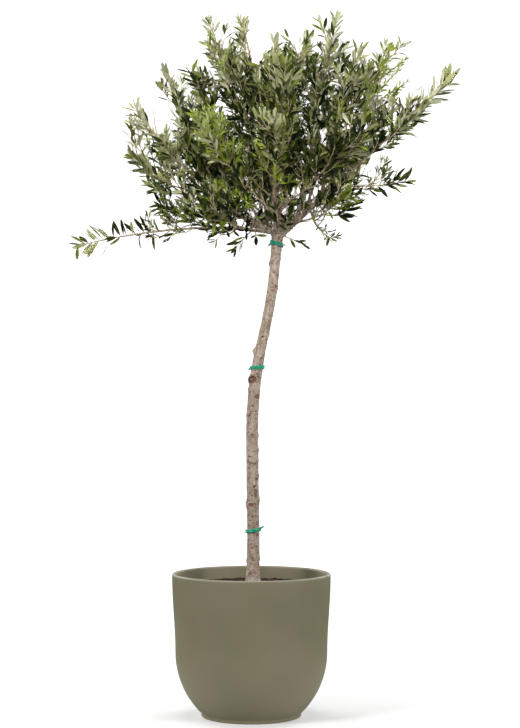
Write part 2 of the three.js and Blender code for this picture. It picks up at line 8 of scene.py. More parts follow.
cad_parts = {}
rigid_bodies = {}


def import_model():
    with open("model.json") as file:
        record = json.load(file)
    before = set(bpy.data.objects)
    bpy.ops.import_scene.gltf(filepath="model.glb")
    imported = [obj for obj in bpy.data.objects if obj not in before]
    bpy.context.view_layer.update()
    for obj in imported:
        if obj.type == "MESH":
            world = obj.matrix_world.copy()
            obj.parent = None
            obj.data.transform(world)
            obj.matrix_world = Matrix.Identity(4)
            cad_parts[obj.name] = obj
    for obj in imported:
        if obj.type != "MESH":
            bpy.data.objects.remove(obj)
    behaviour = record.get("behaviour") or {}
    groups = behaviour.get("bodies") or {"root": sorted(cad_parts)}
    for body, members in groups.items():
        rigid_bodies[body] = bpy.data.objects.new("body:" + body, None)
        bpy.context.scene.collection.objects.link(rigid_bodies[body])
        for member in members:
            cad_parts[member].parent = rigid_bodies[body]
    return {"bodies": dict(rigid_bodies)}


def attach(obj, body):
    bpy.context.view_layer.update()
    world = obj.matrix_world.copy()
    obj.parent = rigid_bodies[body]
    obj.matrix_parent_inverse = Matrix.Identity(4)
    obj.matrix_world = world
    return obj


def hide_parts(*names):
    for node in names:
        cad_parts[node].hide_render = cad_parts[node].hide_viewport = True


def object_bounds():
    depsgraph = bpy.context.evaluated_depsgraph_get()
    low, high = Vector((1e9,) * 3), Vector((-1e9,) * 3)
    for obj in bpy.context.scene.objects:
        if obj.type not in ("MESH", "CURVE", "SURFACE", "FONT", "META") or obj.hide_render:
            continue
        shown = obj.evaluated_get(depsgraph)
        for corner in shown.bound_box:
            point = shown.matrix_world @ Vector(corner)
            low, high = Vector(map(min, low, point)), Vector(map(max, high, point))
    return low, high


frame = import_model()
cad_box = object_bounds()

MM = 0.001
BODY = next(iter(frame["bodies"]))
UP = np.array([0.0, 0.0, 1.0])
BOX_LOW, BOX_HIGH = (np.array(corner) / MM for corner in cad_box)  # round the source's solids
EYE = np.array([19.0, -3600.0, 674.0])  # the camera's place
CAMERA_TILT = 1.58  # degrees above level
LENS = 80.4
SOIL_SEED, EYES_SEED, EXTRA_SEED, MASS_SEED = 7, 31, 77, 1000

# ---- Planter and soil, with the source's sizes ----

GAP = 0.3  # between the soil and the planter's wall
POT_HEIGHT, POT_RADIUS = 312, 175
POT_WAIST_HEIGHT, POT_WAIST_RADIUS = 140, 167.5
FOOT_RADIUS, FOOT_HEIGHT = 110, 7
FOOT_CHAMFER = 2
WALL = 10
LIP_RADIUS = 5
LIP_HIGHLIGHT = 3.2  # height of the lip painted a paler tone, a painted highlight along its rounded edge
FLOOR_THICKNESS = 14
POT_SIDES = 160
POT_ROWS = 48  # up the outside, closer together by the foot
POT_INNER_ROWS = 24
SOIL_EDGE_HEIGHT = 285
SOIL_SETTLED = 1.5  # how much lower the soil lies than the source's
SOIL_MOUND, SOIL_MOUND_RADIUS = 4.5, 34
SOIL_RINGS, SOIL_SIDES = 70, 200
SOIL_LUMPS = [(1.8, 22), (1.2, 7)]  # height, width
SOIL_SMOOTH_EDGE = 12  # width of the edge along the wall without lumps
CLODS = 900
CLOD_INSET = 8  # from the soil's edge
CLOD_SIZE = (1.6, 3.0)  # at random
CLOD_VARIES = (0.7, 0.6)  # at random
CLOD_STAND = 0.2  # share of its size by which a clod stands up
OCTAHEDRON = np.array([(1, 0, 0), (0, 1, 0), (-1, 0, 0), (0, -1, 0), (0, 0, 1), (0, 0, -1)], float)
OCTAHEDRON_FACES = [
    (0, 1, 4), (1, 2, 4), (2, 3, 4), (3, 0, 4), (1, 0, 5), (2, 1, 5), (3, 2, 5), (0, 3, 5),
]

# ---- Stem, ties and boughs, with the source's courses ----

STEM_COURSE = np.array([  # z, x, y
    (291.3, 3.5, 0), (400, 4.2, 1), (560, 2.2, -3), (650, 2.2, -2), (730, 8, 2),
    (800, 19, 4), (880, 36, 1), (950, 47.5, -2), (1066, 58.5, 0),
], float)
STEM_RADII = np.array([  # z, radius
    (291, 19), (303, 15.6), (325, 14), (650, 13.3), (760, 13), (830, 11.6),
    (990, 11.4), (1040, 12), (1066, 14.5),
], float)
STEM_KNOTS = [  # z, bearing, out, reach
    (339, 190, 2.4, 8), (345, 350, 2, 8), (464, 205, 3.4, 13), (474, 345, 2.4, 12),
    (526, 350, 2, 8), (584, 352, 2, 7), (615, 350, 2, 7), (659, 212, 2.6, 11), (702, 315, 2.2, 8),
    (715, 185, 2.6, 7), (738, 222, 5.6, 14), (800, 182, 5.4, 8), (841, 355, 2.2, 6),
    (944, 335, 2.8, 10), (996, 188, 3.2, 8),
]
TIES = [  # name, z, slope, and the bearing and way of its loose end
    ("tie_low", 406, -9, 345, (0.75, -0.35, 0.5)),
    ("tie_middle", 766, -12, 205, (-0.55, -0.4, -0.7)),
    ("tie_high", 1040, 15, 222, (-0.35, -0.3, -0.85)),
]
TIE_STRANDS = (-1, 1)  # each tie goes round twice, one turn below the other
TIE_STRAND = 4.6  # its thickness
TIE_PITCH = 3.8  # between its two turns
TIE_GRIP = 0.4  # how far a turn sinks into the bark
TIE_STEPS, TIE_SIDES = 72, 12
TAIL_LENGTH = 10

BRANCHES = [  # name, parent, at, bearing, out, up, lift, bare, radius, spread
    ("top_middle", "stem", 1, 141, 110, 503, 0.62, 0.4, 9.5, 125),
    ("right_reach", "stem", 0.982, 354, 396, 347, 0.44, 0.4, 9, 115),
    ("long_low_left", "stem", 0.996, 184, 472, -42, -0.9, 0.4, 5.5, 85),
    ("left", "stem", 0.995, 185, 328, 283, 0.2, 0.36, 7, 130),
    ("front", "stem", 0.99, 268, 300, 215, 0.35, 0.36, 6.5, 135),
    ("back", "stem", 0.985, 88, 305, 250, 0.3, 0.36, 7, 135),
    ("top_left", "top_middle", 0.22, 198, 162, 471, 0.3, 0.3, 6, 125),
    ("top_front", "top_middle", 0.16, 266, 125, 413, 0.35, 0.3, 5, 125),
    ("top_back", "top_middle", 0.3, 54, 125, 470, 0.3, 0.3, 5.5, 125),
    ("top_right", "right_reach", 0.12, 347, 136, 485, 0.45, 0.3, 6, 125),
    ("upper_right", "right_reach", 0.22, 6, 262, 436, 0.4, 0.26, 5, 135),
    ("inner_right", "right_reach", 0.16, 338, 196, 405, 0.4, 0.28, 4.5, 120),
    ("low_right", "right_reach", 0.34, 5, 306, 118, 0.1, 0.26, 4, 105),
    ("hanging_right", "right_reach", 0.2, 327, 165, -10, 1.6, 0.36, 3.5, 52),
    ("upper_left", "left", 0.22, 167, 268, 384, 0.2, 0.26, 5, 125),
    ("inner_left", "left", 0.12, 184, 200, 372, 0.4, 0.28, 4.5, 120),
    ("mid_left", "left", 0.3, 178, 336, 180, 0.1, 0.26, 4.5, 120),
    ("low_left", "long_low_left", 0.2, 172, 300, 88, 0, 0.26, 4, 120),
    ("low_front_left", "long_low_left", 0.1, 228, 250, 30, 0.1, 0.26, 4, 125),
    ("upper_front", "front", 0.16, 274, 215, 345, 0.4, 0.28, 4.5, 125),
    ("front_left", "front", 0.22, 232, 300, 235, 0.25, 0.28, 4.5, 130),
    ("front_right", "front", 0.28, 310, 300, 220, 0.25, 0.28, 4.5, 130),
    ("upper_back", "back", 0.18, 96, 215, 372, 0.4, 0.28, 4.5, 125),
    ("back_left", "back", 0.22, 130, 305, 240, 0.25, 0.28, 4.5, 130),
    ("back_right", "back", 0.28, 46, 305, 225, 0.25, 0.28, 4.5, 130),
    ("low_back", "back", 0.14, 100, 260, 60, 0.3, 0.28, 4, 125),
    ("low_front_right", "right_reach", 0.1, 316, 225, 66, 0.1, 0.28, 4, 120),
]
CONTROL_SPREAD = 0.45  # share of the way out at which a bough's curve bends
WANDER = 5  # how far a bough strays from its curve
WANDER_PACE = 9
BOUGH_TIP_SHARE = 0.5  # of its radius, left where its mass begins
SPAN_STEPS = 40  # of the stem's curve between two of its points

# ---- Bark ----

BARK_ROWS, BARK_SIDES = 260, 40
BOUGH_ROWS, BOUGH_SIDES = 20, 12
BARK_OVERLAP = 4  # how far the stem goes on into the fork
BARK_VOXEL = 1.5
FURROW_DEPTH, FURROW_SCALE = 0.35, (110, 110, 34)
GRAIN_DEPTH, GRAIN_SCALE = 0.22, (420, 420, 300)
STEM_RANGE = 26  # points nearer than this to the stem's middle are on the stem

# Eyes and scars in the bark: height, bearing, radius, and how dark they are.
STEM_EYES = [
    (1052, 285, 2.4, 0.8), (995, 200, 2, 0.5), (944, 306, 2.3, 0.95), (886, 200, 1.7, 0.5),
    (833, 260, 2, 0.95), (827, 312, 2.1, 0.6), (786, 294, 2, 0.95), (739, 240, 7, 1),
    (702, 305, 3.8, 0.9), (680, 270, 1.7, 0.85), (669, 301, 1.9, 1), (668, 248, 1.6, 0.8),
    (659, 236, 2.3, 0.85), (633, 317, 1.7, 0.75), (569, 248, 1.7, 0.75), (520, 309, 2.2, 0.85),
    (503, 282, 2.3, 0.75), (491, 302, 3.2, 0.5), (463, 248, 3.6, 0.8), (462, 280, 4.6, 0.6),
    (422, 274, 1.8, 0.75), (397, 309, 2.2, 0.75),
]
BACK_EYES = 18  # more of them round the side that the front view hides
BACK_EYE_SPAN = ((330, 10), (1040, 170))  # their lowest and highest height and bearing
BACK_EYE_RADIUS = (1.6, 3.2)
BACK_EYE_DARK = (0.5, 1)
RINGED_EYE = 3  # larger eyes have a dark ring

# ---- Shoots, finer than the source's ----

STEM_FIRST = 0.04  # share of a mass's stem where its first side shoots leave it
STEM_STEP = 24  # between the nodes of a mass's stem
STEM_TAPER = 0.72
STEM_SIDES = 8
MASS_STEPS = 20  # steps of the mass's stem itself
MASS_SHY = 0.5  # how far it ends before the branch's tip, in leaf lengths
SHOOT_SHY = 0.75  # how far the longest side shoots end before the spread, in leaf lengths
SPRAY = 0.74  # share of a mass's stem past which it bears only leaves
EARLY_SPRAY = {
    "long_low_left": 0.3, "hanging_right": 0.2, "right_reach": 0.6, "low_right": 0.5, "top_left": 0.68,
    "top_middle": 0.68, "top_right": 0.66, "top_front": 0.66, "upper_right": 0.66, "left": 0.68,
}
NODE_TURN = 90
NODE_STRAY = 14
FIRST_TURN = 50
SHOOT_RADIUS = 1.7
SHOOT_THINNEST = 0.55  # share of that radius that the shortest shoots would have
SHOOT_FULL = 160  # length over which a whole radius is added to it
SHOOT_TAPER = 0.55
SHOOT_SIDES = 5
SHOOT_ANGLE = 52
SHOOT_CLOSING = 14  # how much smaller the angle is at the tip
SHOOT_RISE = 1.15
SHOOT_STEPS = 5
SHOOT_REACH = (0.62, 0.5)  # at random, as a share of the mass's spread
SHOOT_LOSS = 0.46  # of that, towards the tip
SHOOT_TRIES = (1, 0.8, 0.6, 0.45)  # shares of its length at which a shoot may find room
FORKING = 56  # a side shoot longer than this forks
FORK_SHARES = (0.3, 0.52)
FORK_SIZE = 0.55
FORK_ANGLE = 44
SPUR_STEP = 14  # between the short twigs on the outer part of a bough
SPUR_FIRST = 0.2  # share of a bough where they start
SPUR_LENGTH = (38, 56)  # at random
# Twigs where the rule leaves a place empty: a bough's name, the share along the whole branch, and
# the twig's bearing, rise and length.
EXTRA_TWIGS = [
    ("long_low_left", 0.13, 196, -0.9, 60), ("long_low_left", 0.25, 215, -0.6, 46),
    ("long_low_left", 0.48, 200, -0.5, 34), ("right_reach", 0.024, 338, -0.25, 58),
    ("low_back", 0.14, 95, -0.7, 55), ("top_middle", 0.24, 215, 0.9, 100),
    ("top_middle", 0.31, 245, 0.8, 110), ("top_middle", 0.37, 225, 0.6, 110),
    ("top_middle", 0.3, 186, 0.55, 120), ("top_middle", 0.34, 170, 0.35, 120),
    ("upper_right", 0.62, 8, 0.4, 120), ("upper_right", 0.54, 352, 0.5, 105),
    ("upper_right", 0.84, 0, 2.5, 60), ("upper_right", 0.76, 352, 1.2, 95),
    ("mid_left", 0.94, 165, 3, 82), ("upper_right", 0.68, 355, 0.6, 110),
    ("upper_right", 0.78, 0, 0.5, 85), ("top_left", 0.62, 184, 0.35, 85),
    ("mid_left", 0.9, 190, 3, 90), ("top_right", 0.84, 190, 1.4, 65),
    ("upper_right", 0.86, 0, 0.8, 70), ("mid_left", 0.84, 150, 2.4, 100),
    ("mid_left", 0.74, 185, 2.8, 105), ("top_left", 0.66, 182, 1.2, 90),
    ("left", 0.74, 180, 1.6, 62), ("left", 0.83, 185, 3, 58), ("right_reach", 0.6, 352, 1.1, 120),
]
EXTRA_RISE = 0.6  # how much of its rise such a twig gains again on its way

# Limbs that shoots and leaves keep clear of, and the box that they stay in.
LIMBS_FROM = 700  # height of the stem where they begin
LIMB_SHARE = 0.8  # of a bough's first radius
LIMB_MARGIN = 4
LEAF_LIMB_MARGIN = 2
SHOOT_LEEWAY = 4  # past the source's box
LEAF_LEEWAY = 5
# Gaps that stay open in the front view: across and up from the fork, and their radius.
SKY_GAPS = np.array([
    (-286, 318, 18), (-275, 281, 20), (-266, 243, 16), (11, 54, 11), (78, 82, 11), (40, 88, 8),
    (100, 99, 8), (5, 99, 7), (43, 48, 8), (-50, 5, 9), (-80, 18, 8), (-40, 61, 9), (-52, 42, 7),
    (102, 225, 8), (102, 200, 7), (197, 238, 7), (151, 237, 7), (-46, 398, 15), (-55, 436, 13),
    (-122, 427, 10), (43, 416, 11), (-235, 265, 9), (-290, 70, 11), (214, 162, 11), (228, 110, 9),
    (-175, -8, 13), (-196, 3, 9), (219, 128, 9), (302, 312, 8), (-66, 410, 12), (-290, 358, 16),
    (-56, 455, 9), (-22, 416, 9), (-130, 445, 9), (31, 440, 9), (-243, 288, 9), (193, 144, 8),
    (-128, -11, 8),
], float)
WIDE_GAP = 12.5  # gaps of a larger radius keep twigs out too
GAP_SEAM = 3  # how much wider they are for the middles of leaves

# ---- Leaves ----

LEAF_LENGTH = 38
LEAF_VARIES = (0.78, 0.34)  # at random
LEAF_TIP_LOSS = 0.12  # how much shorter they are at the twig's tip
LEAF_WIDTH = 0.225  # share of its length
LEAF_WIDTH_VARIES = (0.85, 0.3)  # at random
LEAF_BEND = (6, 30)  # degrees, at random
LEAF_STEP = 8.8
LEAF_STEP_VARIES = (0.85, 0.3)  # at random
LEAF_TURN_STRAY = 12
LEAF_ANGLE = (18, 26)  # at random
LEAF_ROOT_ANGLE = 10  # how much wider it is at the twig's root
LEAF_TWIST = 0.7  # how far a leaf turns its face away from its twig's tip
LEAF_MISSING = 0.06  # share of leaves that have fallen
LEAF_LAST = 0.97  # share of a twig where its pairs end
LEAFLESS = (0.3, 0.14)  # share of a side shoot without leaves, low and high in the crown
LEAFLESS_HEIGHT = 330
TIP_SIZE = 0.62  # of the leaf at a twig's tip
TUFT_SIZE = 0.66  # of the two beside it
TUFT_ANGLE = (12, 10)  # at random
SHOOT_LEAVES = 0.86  # size of the leaves on side shoots
SHOOT_LEAVES_SPREAD = 110  # spread of a mass at which they have that size
SHOOT_LEAVES_MOST = 1.05
STEM_LEAVES = 1.1  # size of the leaves on a mass's own stem
STEM_LEAVES_SPREAD = 85
STEM_LEAVES_FIRST = 0.45
LARGE_LEAVES = {"right_reach": 1.2}  # larger leaves on a mass's own stem
CLOSE_PAIRS = 0.66  # share of LEAF_STEP between the leaves on a mass's own stem
WIDE_LEAVES = {"long_low_left": 26, "low_right": 14}  # degrees more between their leaves and stem
WIDE_SIZE = 1.15
WIDE_FIRST = 1.5  # their stems are bare for this much longer
WIDE_CLOSER = (0.7, 0.8)  # as CLOSE_PAIRS, on the inner and the outer part of their stems
WIDE_TURN_STRAY = 35
WIDE_MISSING = 0.45  # share of leaves missing beneath their stems
YOUNG_SIZE = 0.62  # of the young leaves and the steps between them, as a share of the others'
# Shares along a leaf, and its half-width there as a share of its width.
LEAF_STATIONS = [(0.1, 0.1), (0.32, 0.42), (0.6, 0.5), (0.86, 0.32)]
LEAF_RIDGE = 0.13  # how high the ridge stands, as a share of the leaf's width there
LEAF_THICKNESS = 0.45  # along the ridge

# The kinds of leaves, each with the paint of its tops and its undersides: the name, a dark and a
# light tone, roughness and gloss. The kinds but the young one are shaded and lit tones of one leaf
# that go from dark to light: painted shade for leaves inside and low in the crown, painted light
# for leaves far out, high and to the sides.
LEAF_PAINTS = {
    "leaves_dark": (
        ("leaf_dark_top", (7, 17, 2), (18, 32, 5), 0.5, 0.1),
        ("leaf_dark_under", (56, 65, 26), (74, 82, 36), 0.75, 0.08),
    ),
    "leaves_deep": (
        ("leaf_deep_top", (26, 41, 4), (48, 63, 11), 0.5, 0.12),
        ("leaf_deep_under", (90, 97, 48), (110, 116, 64), 0.75, 0.1),
    ),
    "leaves_mid": (
        ("leaf_mid_top", (86, 100, 26), (114, 126, 46), 0.5, 0.16),
        ("leaf_mid_under", (146, 151, 98), (166, 170, 120), 0.75, 0.1),
    ),
    "leaves_grey": (
        ("leaf_grey_top", (152, 157, 98), (176, 180, 126), 0.5, 0.15),
        ("leaf_grey_under", (184, 185, 152), (204, 204, 172), 0.8, 0.1),
    ),
    "leaves_young": (
        ("leaf_young_top", (112, 136, 10), (152, 168, 34), 0.45, 0.3),
        ("leaf_young_under", (156, 170, 84), (180, 190, 112), 0.7, 0.25),
    ),
}
# Painted shade and light: a shoot's kind follows a made-up light that is stronger far out, high, far to
# a side and to the left, where the lamps reach, and weaker inside and below, in the crown's shade.
SHADES = ["leaves_dark", "leaves_deep", "leaves_mid", "leaves_grey"]
SHADE_LIMITS = [0.41, 0.6, 0.72]  # of the light at a shoot's tip, between one kind and the next
LIGHT_OUTER = 0.34  # how much of it comes from being far out, high or far to a side
LIGHT_HEIGHT = 0.5
LIGHT_SIDES = 0.38
LIGHT_LEFT = 0.04  # and to the left
CROWN_MIDDLE = np.array([-10, 0, 235])  # from the fork
CROWN_REACH = np.array([340, 300, 270])  # from there to its sides, front and top
KIND_LIFT = 15  # a mass's own leaves take the light this far above its stem's tip
STRAY_KIND = 0.48  # share of a shoot's leaves that are a shade or two off the rest
YOUNG_ANYWHERE = 0.04  # share of young shoots in the whole crown, and more in their own places
YOUNG_MORE = 0.85
YOUNG_SPOTS = np.array([  # across, back and up from the fork, reach
    (-120, -180, 230, 92), (-114, -170, 133, 50), (-36, -170, 70, 50), (260, 20, 390, 70),
    (46, -100, 111, 35), (215, -20, 181, 40), (-60, 210, 230, 80), (150, 180, 150, 55),
    (-230, 60, 110, 40),
], float)

# ---- Stage ----

WHITE = (1.0, 1.0, 1.0, 1.0)
FLOOR_HALF = 1500
FLOOR_TONES = (0.7, 0.72)
FLOOR_GLOW = 0.2
BOUNCE_TONES = (0.74, 0.74 * 0.97)  # of the hidden floor that throws light back up
BOUNCE_SHARE = 0.32  # its size, as a share of the floor's
DOME_RADIUS = 40000
WORLD_LIGHT = 0.03
LIGHTS = [  # name, place, aim, size, power, spread
    ("key", (-3.6, -2.6, 2.6), (0, 0, 0.9), 1.6, 185, 180),
    ("fill", (3.7, -2.5, 1.8), (0, 0, 0.9), 2.0, 155, 180),
    ("front", (-0.3, -3.4, 1.5), (0, 0, 1.3), 1.0, 3.4, 36),
    ("side_left", (-3.4, 0.6, 2.6), (0, 0, 1.3), 2.0, 25, 180),
    ("side_right", (3.4, 0.6, 2.6), (0, 0, 1.3), 2.0, 25, 180),
    ("back_left", (-2.4, 3.0, 2.3), (0, 0, 0.9), 2.0, 90, 180),
    ("back_right", (2.4, 3.0, 2.3), (0, 0, 0.9), 2.0, 90, 180),
    ("overhead", (0, 0, 5.5), (0, 0, 1.0), 2.4, 110, 180),
]

# ---- Small tools ----


def unit(v):
    return v / max(np.linalg.norm(v), 1e-9)


def mix(a, b, share):
    return a + (b - a) * share


def varied(span, rng):
    """A number at random from a pair: the least, and how much chance adds to it."""
    return span[0] + span[1] * rng.random()


def tapered(radius, loss, count):
    """A twig's radii from its root to its tip."""
    return radius * (1 - loss * np.linspace(0, 1, count))


def smoothstep(low, high, x):
    t = np.clip((x - low) / (high - low), 0, 1)
    return t * t * (3 - 2 * t)


def srgb(red, green, blue):
    """The linear colour of an sRGB one from 0 to 255."""
    parts = [c / 255 for c in (red, green, blue)]
    line = [c / 12.92 if c <= 0.04045 else ((c + 0.055) / 1.055) ** 2.4 for c in parts]
    return (*line, 1.0)


def show(piece):
    bpy.context.scene.collection.objects.link(piece)


def to_mesh(name, points, faces, materials, kinds=None):
    """An object of a mesh from points in mm. kinds gives each face its material's number."""
    mesh = bpy.data.meshes.new(name)
    mesh.from_pydata(np.asarray(points) * MM, [], faces)
    for made in materials:
        mesh.materials.append(made)
    if kinds is not None:
        mesh.polygons.foreach_set("material_index", np.asarray(kinds, np.int32))
    mesh.polygons.foreach_set("use_smooth", np.ones(len(mesh.polygons), bool))
    mesh.update()
    piece = bpy.data.objects.new(name, mesh)
    show(piece)
    return piece


def vertex_values(mesh, key):
    values = np.zeros(len(mesh.vertices) * 3)
    mesh.vertices.foreach_get(key, values)
    return values.reshape(-1, 3)


# ---- Materials ----


class Paint:
    """A principled material whose nodes are added by short calls."""

    def __init__(self, name, **sockets):
        self.material = bpy.data.materials.new(name)
        self.material.use_nodes = True
        self.tree = self.material.node_tree
        self.shader = self.tree.nodes["Principled BSDF"]
        for socket, value in sockets.items():
            self.shader.inputs[socket.replace("_", " ")].default_value = value
        self.place = self.tree.nodes.new("ShaderNodeTexCoord").outputs["Object"]

    def add(self, kind, links=None, **settings):
        """A new node; links gives its inputs' sources, and settings its other values."""
        node = self.tree.nodes.new(f"ShaderNode{kind}")
        for key, value in settings.items():
            socket = key.replace("_", " ")
            if socket in node.inputs:
                node.inputs[socket].default_value = value
            else:
                setattr(node, key, value)
        for socket, source in (links or {}).items():
            self.tree.links.new(source, node.inputs[socket])
        return node

    def noise(self, scale, detail, stretch=(1, 1, 1)):
        moved = self.add("Mapping", {"Vector": self.place}, Scale=stretch)
        links = {"Vector": moved.outputs[0]}
        made = self.add("TexNoise", links, Scale=scale, Detail=detail, Roughness=0.55)
        return made.outputs["Fac"]

    def spots(self, scale, size, stretch=(1, 1, 1)):
        """1 in small round spots and 0 between them."""
        moved = self.add("Mapping", {"Vector": self.place}, Scale=stretch)
        cells = self.add("TexVoronoi", {"Vector": moved.outputs[0]}, Scale=scale)
        return self.remap(cells.outputs["Distance"], size, size * 0.5, 0, 1)

    def remap(self, source, low, high, to_low, to_high):
        """The source's range from low to high, moved to another range."""
        node = self.add("MapRange", {"Value": source})
        sockets = ("From Min", "From Max", "To Min", "To Max")
        for socket, value in zip(sockets, (low, high, to_low, to_high)):
            node.inputs[socket].default_value = value
        return node.outputs["Result"]

    def ramp(self, source, stops):
        """A colour by the source's level; the stops are levels with linear colours."""
        node = self.add("ValToRGB", {"Fac": source})
        marks = node.color_ramp.elements
        while len(marks) < len(stops):
            marks.new(0.5)
        for mark, (position, colour) in zip(marks, stops):
            mark.position = position
            mark.color = colour
        return node.outputs["Color"]

    def blend(self, share, below, above):
        """A colour over another by a share; each is a socket or a plain value."""
        node = self.add("Mix", data_type="RGBA")
        sockets = (node.inputs[0], node.inputs[6], node.inputs[7])
        for socket, value in zip(sockets, (share, below, above)):
            if isinstance(value, bpy.types.NodeSocket):
                self.tree.links.new(value, socket)
            else:
                socket.default_value = value
        return node.outputs[2]

    def feed(self, socket, source):
        self.tree.links.new(source, self.shader.inputs[socket])

    def bump(self, height, distance, strength, under=None):
        """A normal from a height, on top of another normal if one is given."""
        links = {"Height": height}
        if under:
            links["Normal"] = under
        node = self.add("Bump", links, Distance=distance, Strength=strength)
        return node.outputs["Normal"]


def planter_material():
    paint = Paint("planter_glaze", Specular_IOR_Level=0.35)
    cloud = paint.noise(7, 4)
    grain = paint.noise(900, 2)
    tone = paint.ramp(cloud, [(0.3, srgb(112, 108, 84)), (0.7, srgb(120, 115, 91))])
    speck = paint.spots(330, 0.16)
    tone = paint.blend(paint.remap(speck, 0, 1, 0, 0.25), tone, srgb(96, 94, 74))
    # Painted highlight: the top of the lip is blended towards a pale tone, as if lit along its rounded
    # edge.
    height = paint.add("SeparateXYZ", {"Vector": paint.place}).outputs["Z"]
    lip = paint.remap(height, (POT_HEIGHT - LIP_HIGHLIGHT) * MM, (POT_HEIGHT - 0.5) * MM, 0, 0.42)
    tone = paint.blend(lip, tone, srgb(178, 174, 158))
    paint.feed("Base Color", tone)
    paint.feed("Roughness", paint.remap(cloud, 0.3, 0.7, 0.5, 0.62))
    soft = paint.bump(paint.noise(40, 3), 0.0004, 0.25)
    paint.feed("Normal", paint.bump(grain, 0.00012, 0.35, soft))
    return paint.material


def soil_material():
    paint = Paint("potting_soil", Specular_IOR_Level=0.2, Roughness=0.95)
    tone = paint.ramp(paint.noise(160, 5), [
        (0.3, srgb(26, 20, 16)), (0.5, srgb(48, 37, 28)), (0.68, srgb(78, 62, 46)),
    ])
    paint.feed("Base Color", tone)
    paint.feed("Normal", paint.bump(paint.noise(420, 4), 0.0015, 0.9))
    return paint.material


def bark_material():
    paint = Paint("olive_bark", Specular_IOR_Level=0.2)
    streak = paint.noise(95, 5, (1, 1, 0.5))
    fine = paint.noise(250, 4, (1, 1, 0.6))
    tone = paint.ramp(streak, [
        (0.3, srgb(112, 94, 80)), (0.44, srgb(152, 136, 121)), (0.6, srgb(174, 159, 145)),
    ])
    layers = [  # pattern, the levels where it starts and is full, its share there and its colour
        (paint.noise(24, 4), 0.5, 0.72, 0.4, srgb(150, 136, 115)),
        (paint.spots(150, 0.42, (1, 1, 1.5)), 0, 1, 0.5, srgb(194, 181, 166)),
        (paint.spots(100, 0.33, (0.8, 0.8, 1.6)), 0, 1, 0.85, srgb(84, 58, 44)),
        (paint.spots(140, 0.3, (1.4, 1.4, 0.8)), 0, 1, 0.6, srgb(92, 80, 68)),
        (fine, 0.52, 0.66, 0.6, srgb(104, 84, 68)),
        (paint.noise(60, 3, (1, 1, 0.7)), 0.62, 0.72, 0.5, srgb(146, 92, 70)),
    ]
    for pattern, low, high, share, colour in layers:
        tone = paint.blend(paint.remap(pattern, low, high, 0, share), tone, colour)
    knot = paint.add("Attribute", attribute_name="knot").outputs["Fac"]
    ragged = paint.remap(paint.noise(330, 3), 0.38, 0.6, 0.35, 1.1)
    knot = paint.add("Math", {0: knot, 1: ragged}, operation="MULTIPLY").outputs[0]
    heart = paint.ramp(knot, [(0.3, srgb(132, 96, 72)), (0.7, srgb(58, 42, 38))])
    tone = paint.blend(paint.remap(knot, 0.04, 0.45, 0, 1), tone, heart)
    paint.feed("Base Color", tone)
    paint.feed("Roughness", paint.remap(streak, 0.3, 0.7, 0.78, 0.92))
    coarse = paint.bump(streak, 0.0018, 0.6)
    paint.feed("Normal", paint.bump(fine, 0.0008, 0.7, coarse))
    return paint.material


def tie_material():
    paint = Paint("green_tie", Specular_IOR_Level=0.6)
    tone = paint.ramp(paint.noise(300, 2), [(0.35, srgb(8, 128, 96)), (0.65, srgb(26, 168, 128))])
    paint.feed("Base Color", tone)
    paint.feed("Roughness", paint.remap(paint.noise(120, 2), 0.3, 0.7, 0.22, 0.36))
    paint.feed("Normal", paint.bump(paint.noise(500, 2), 0.0003, 0.3))
    return paint.material


def twig_material():
    paint = Paint("olive_twig", Specular_IOR_Level=0.25, Roughness=0.8)
    streak = paint.noise(260, 4)
    tone = paint.ramp(streak, [
        (0.32, srgb(136, 120, 94)), (0.5, srgb(176, 160, 128)), (0.68, srgb(206, 192, 160)),
    ])
    paint.feed("Base Color", tone)
    paint.feed("Normal", paint.bump(streak, 0.0006, 0.5))
    return paint.material


def leaf_material(name, dark, light, roughness, gloss):
    paint = Paint(name, Roughness=roughness, Specular_IOR_Level=gloss)
    tone = paint.ramp(paint.noise(70, 2), [(0.35, srgb(*dark)), (0.65, srgb(*light))])
    paint.feed("Base Color", tone)
    paint.feed("Normal", paint.bump(paint.noise(180, 2), 0.0002, 0.2))
    return paint.material


# ---- Planter ----


def pot_radius(z):
    """The outside's radius: an arc from the foot to the waist, then an easy way out to the lip."""
    if z >= POT_WAIST_HEIGHT:
        eased = smoothstep(POT_WAIST_HEIGHT, POT_HEIGHT - LIP_RADIUS, z)
        return POT_WAIST_RADIUS + (POT_RADIUS - POT_WAIST_RADIUS) * eased
    inset = POT_WAIST_RADIUS - FOOT_RADIUS
    drop = POT_WAIST_HEIGHT - FOOT_HEIGHT
    arc = (inset * inset + drop * drop) / (2 * inset)
    return POT_WAIST_RADIUS - arc + sqrt(arc * arc - (POT_WAIST_HEIGHT - z) ** 2)


def pot_profile():
    """Radius and height from the middle of the underside, up the outside and down the inside."""
    lip_height = POT_HEIGHT - LIP_RADIUS
    points = [(0, 0), (60, 0), (FOOT_RADIUS - FOOT_CHAMFER, 0)]
    for turn in map(radians, (30, 60, 90)):
        out = FOOT_RADIUS - FOOT_CHAMFER * (1 - sin(turn))
        points.append((out, FOOT_CHAMFER * (1 - cos(turn))))
    points.append((FOOT_RADIUS, FOOT_HEIGHT - 0.6))
    rows = FOOT_HEIGHT + (lip_height - FOOT_HEIGHT) * np.linspace(0, 1, POT_ROWS) ** 1.25
    points += [(pot_radius(z), z) for z in rows]
    for turn in map(radians, range(15, 180, 15)):
        out = POT_RADIUS - LIP_RADIUS + LIP_RADIUS * cos(turn)
        points.append((out, lip_height + LIP_RADIUS * sin(turn)))
    rows = np.linspace(lip_height, FLOOR_THICKNESS, POT_INNER_ROWS)
    points += [(pot_radius(z) - WALL, z) for z in rows]
    points.append((0, FLOOR_THICKNESS))
    return points


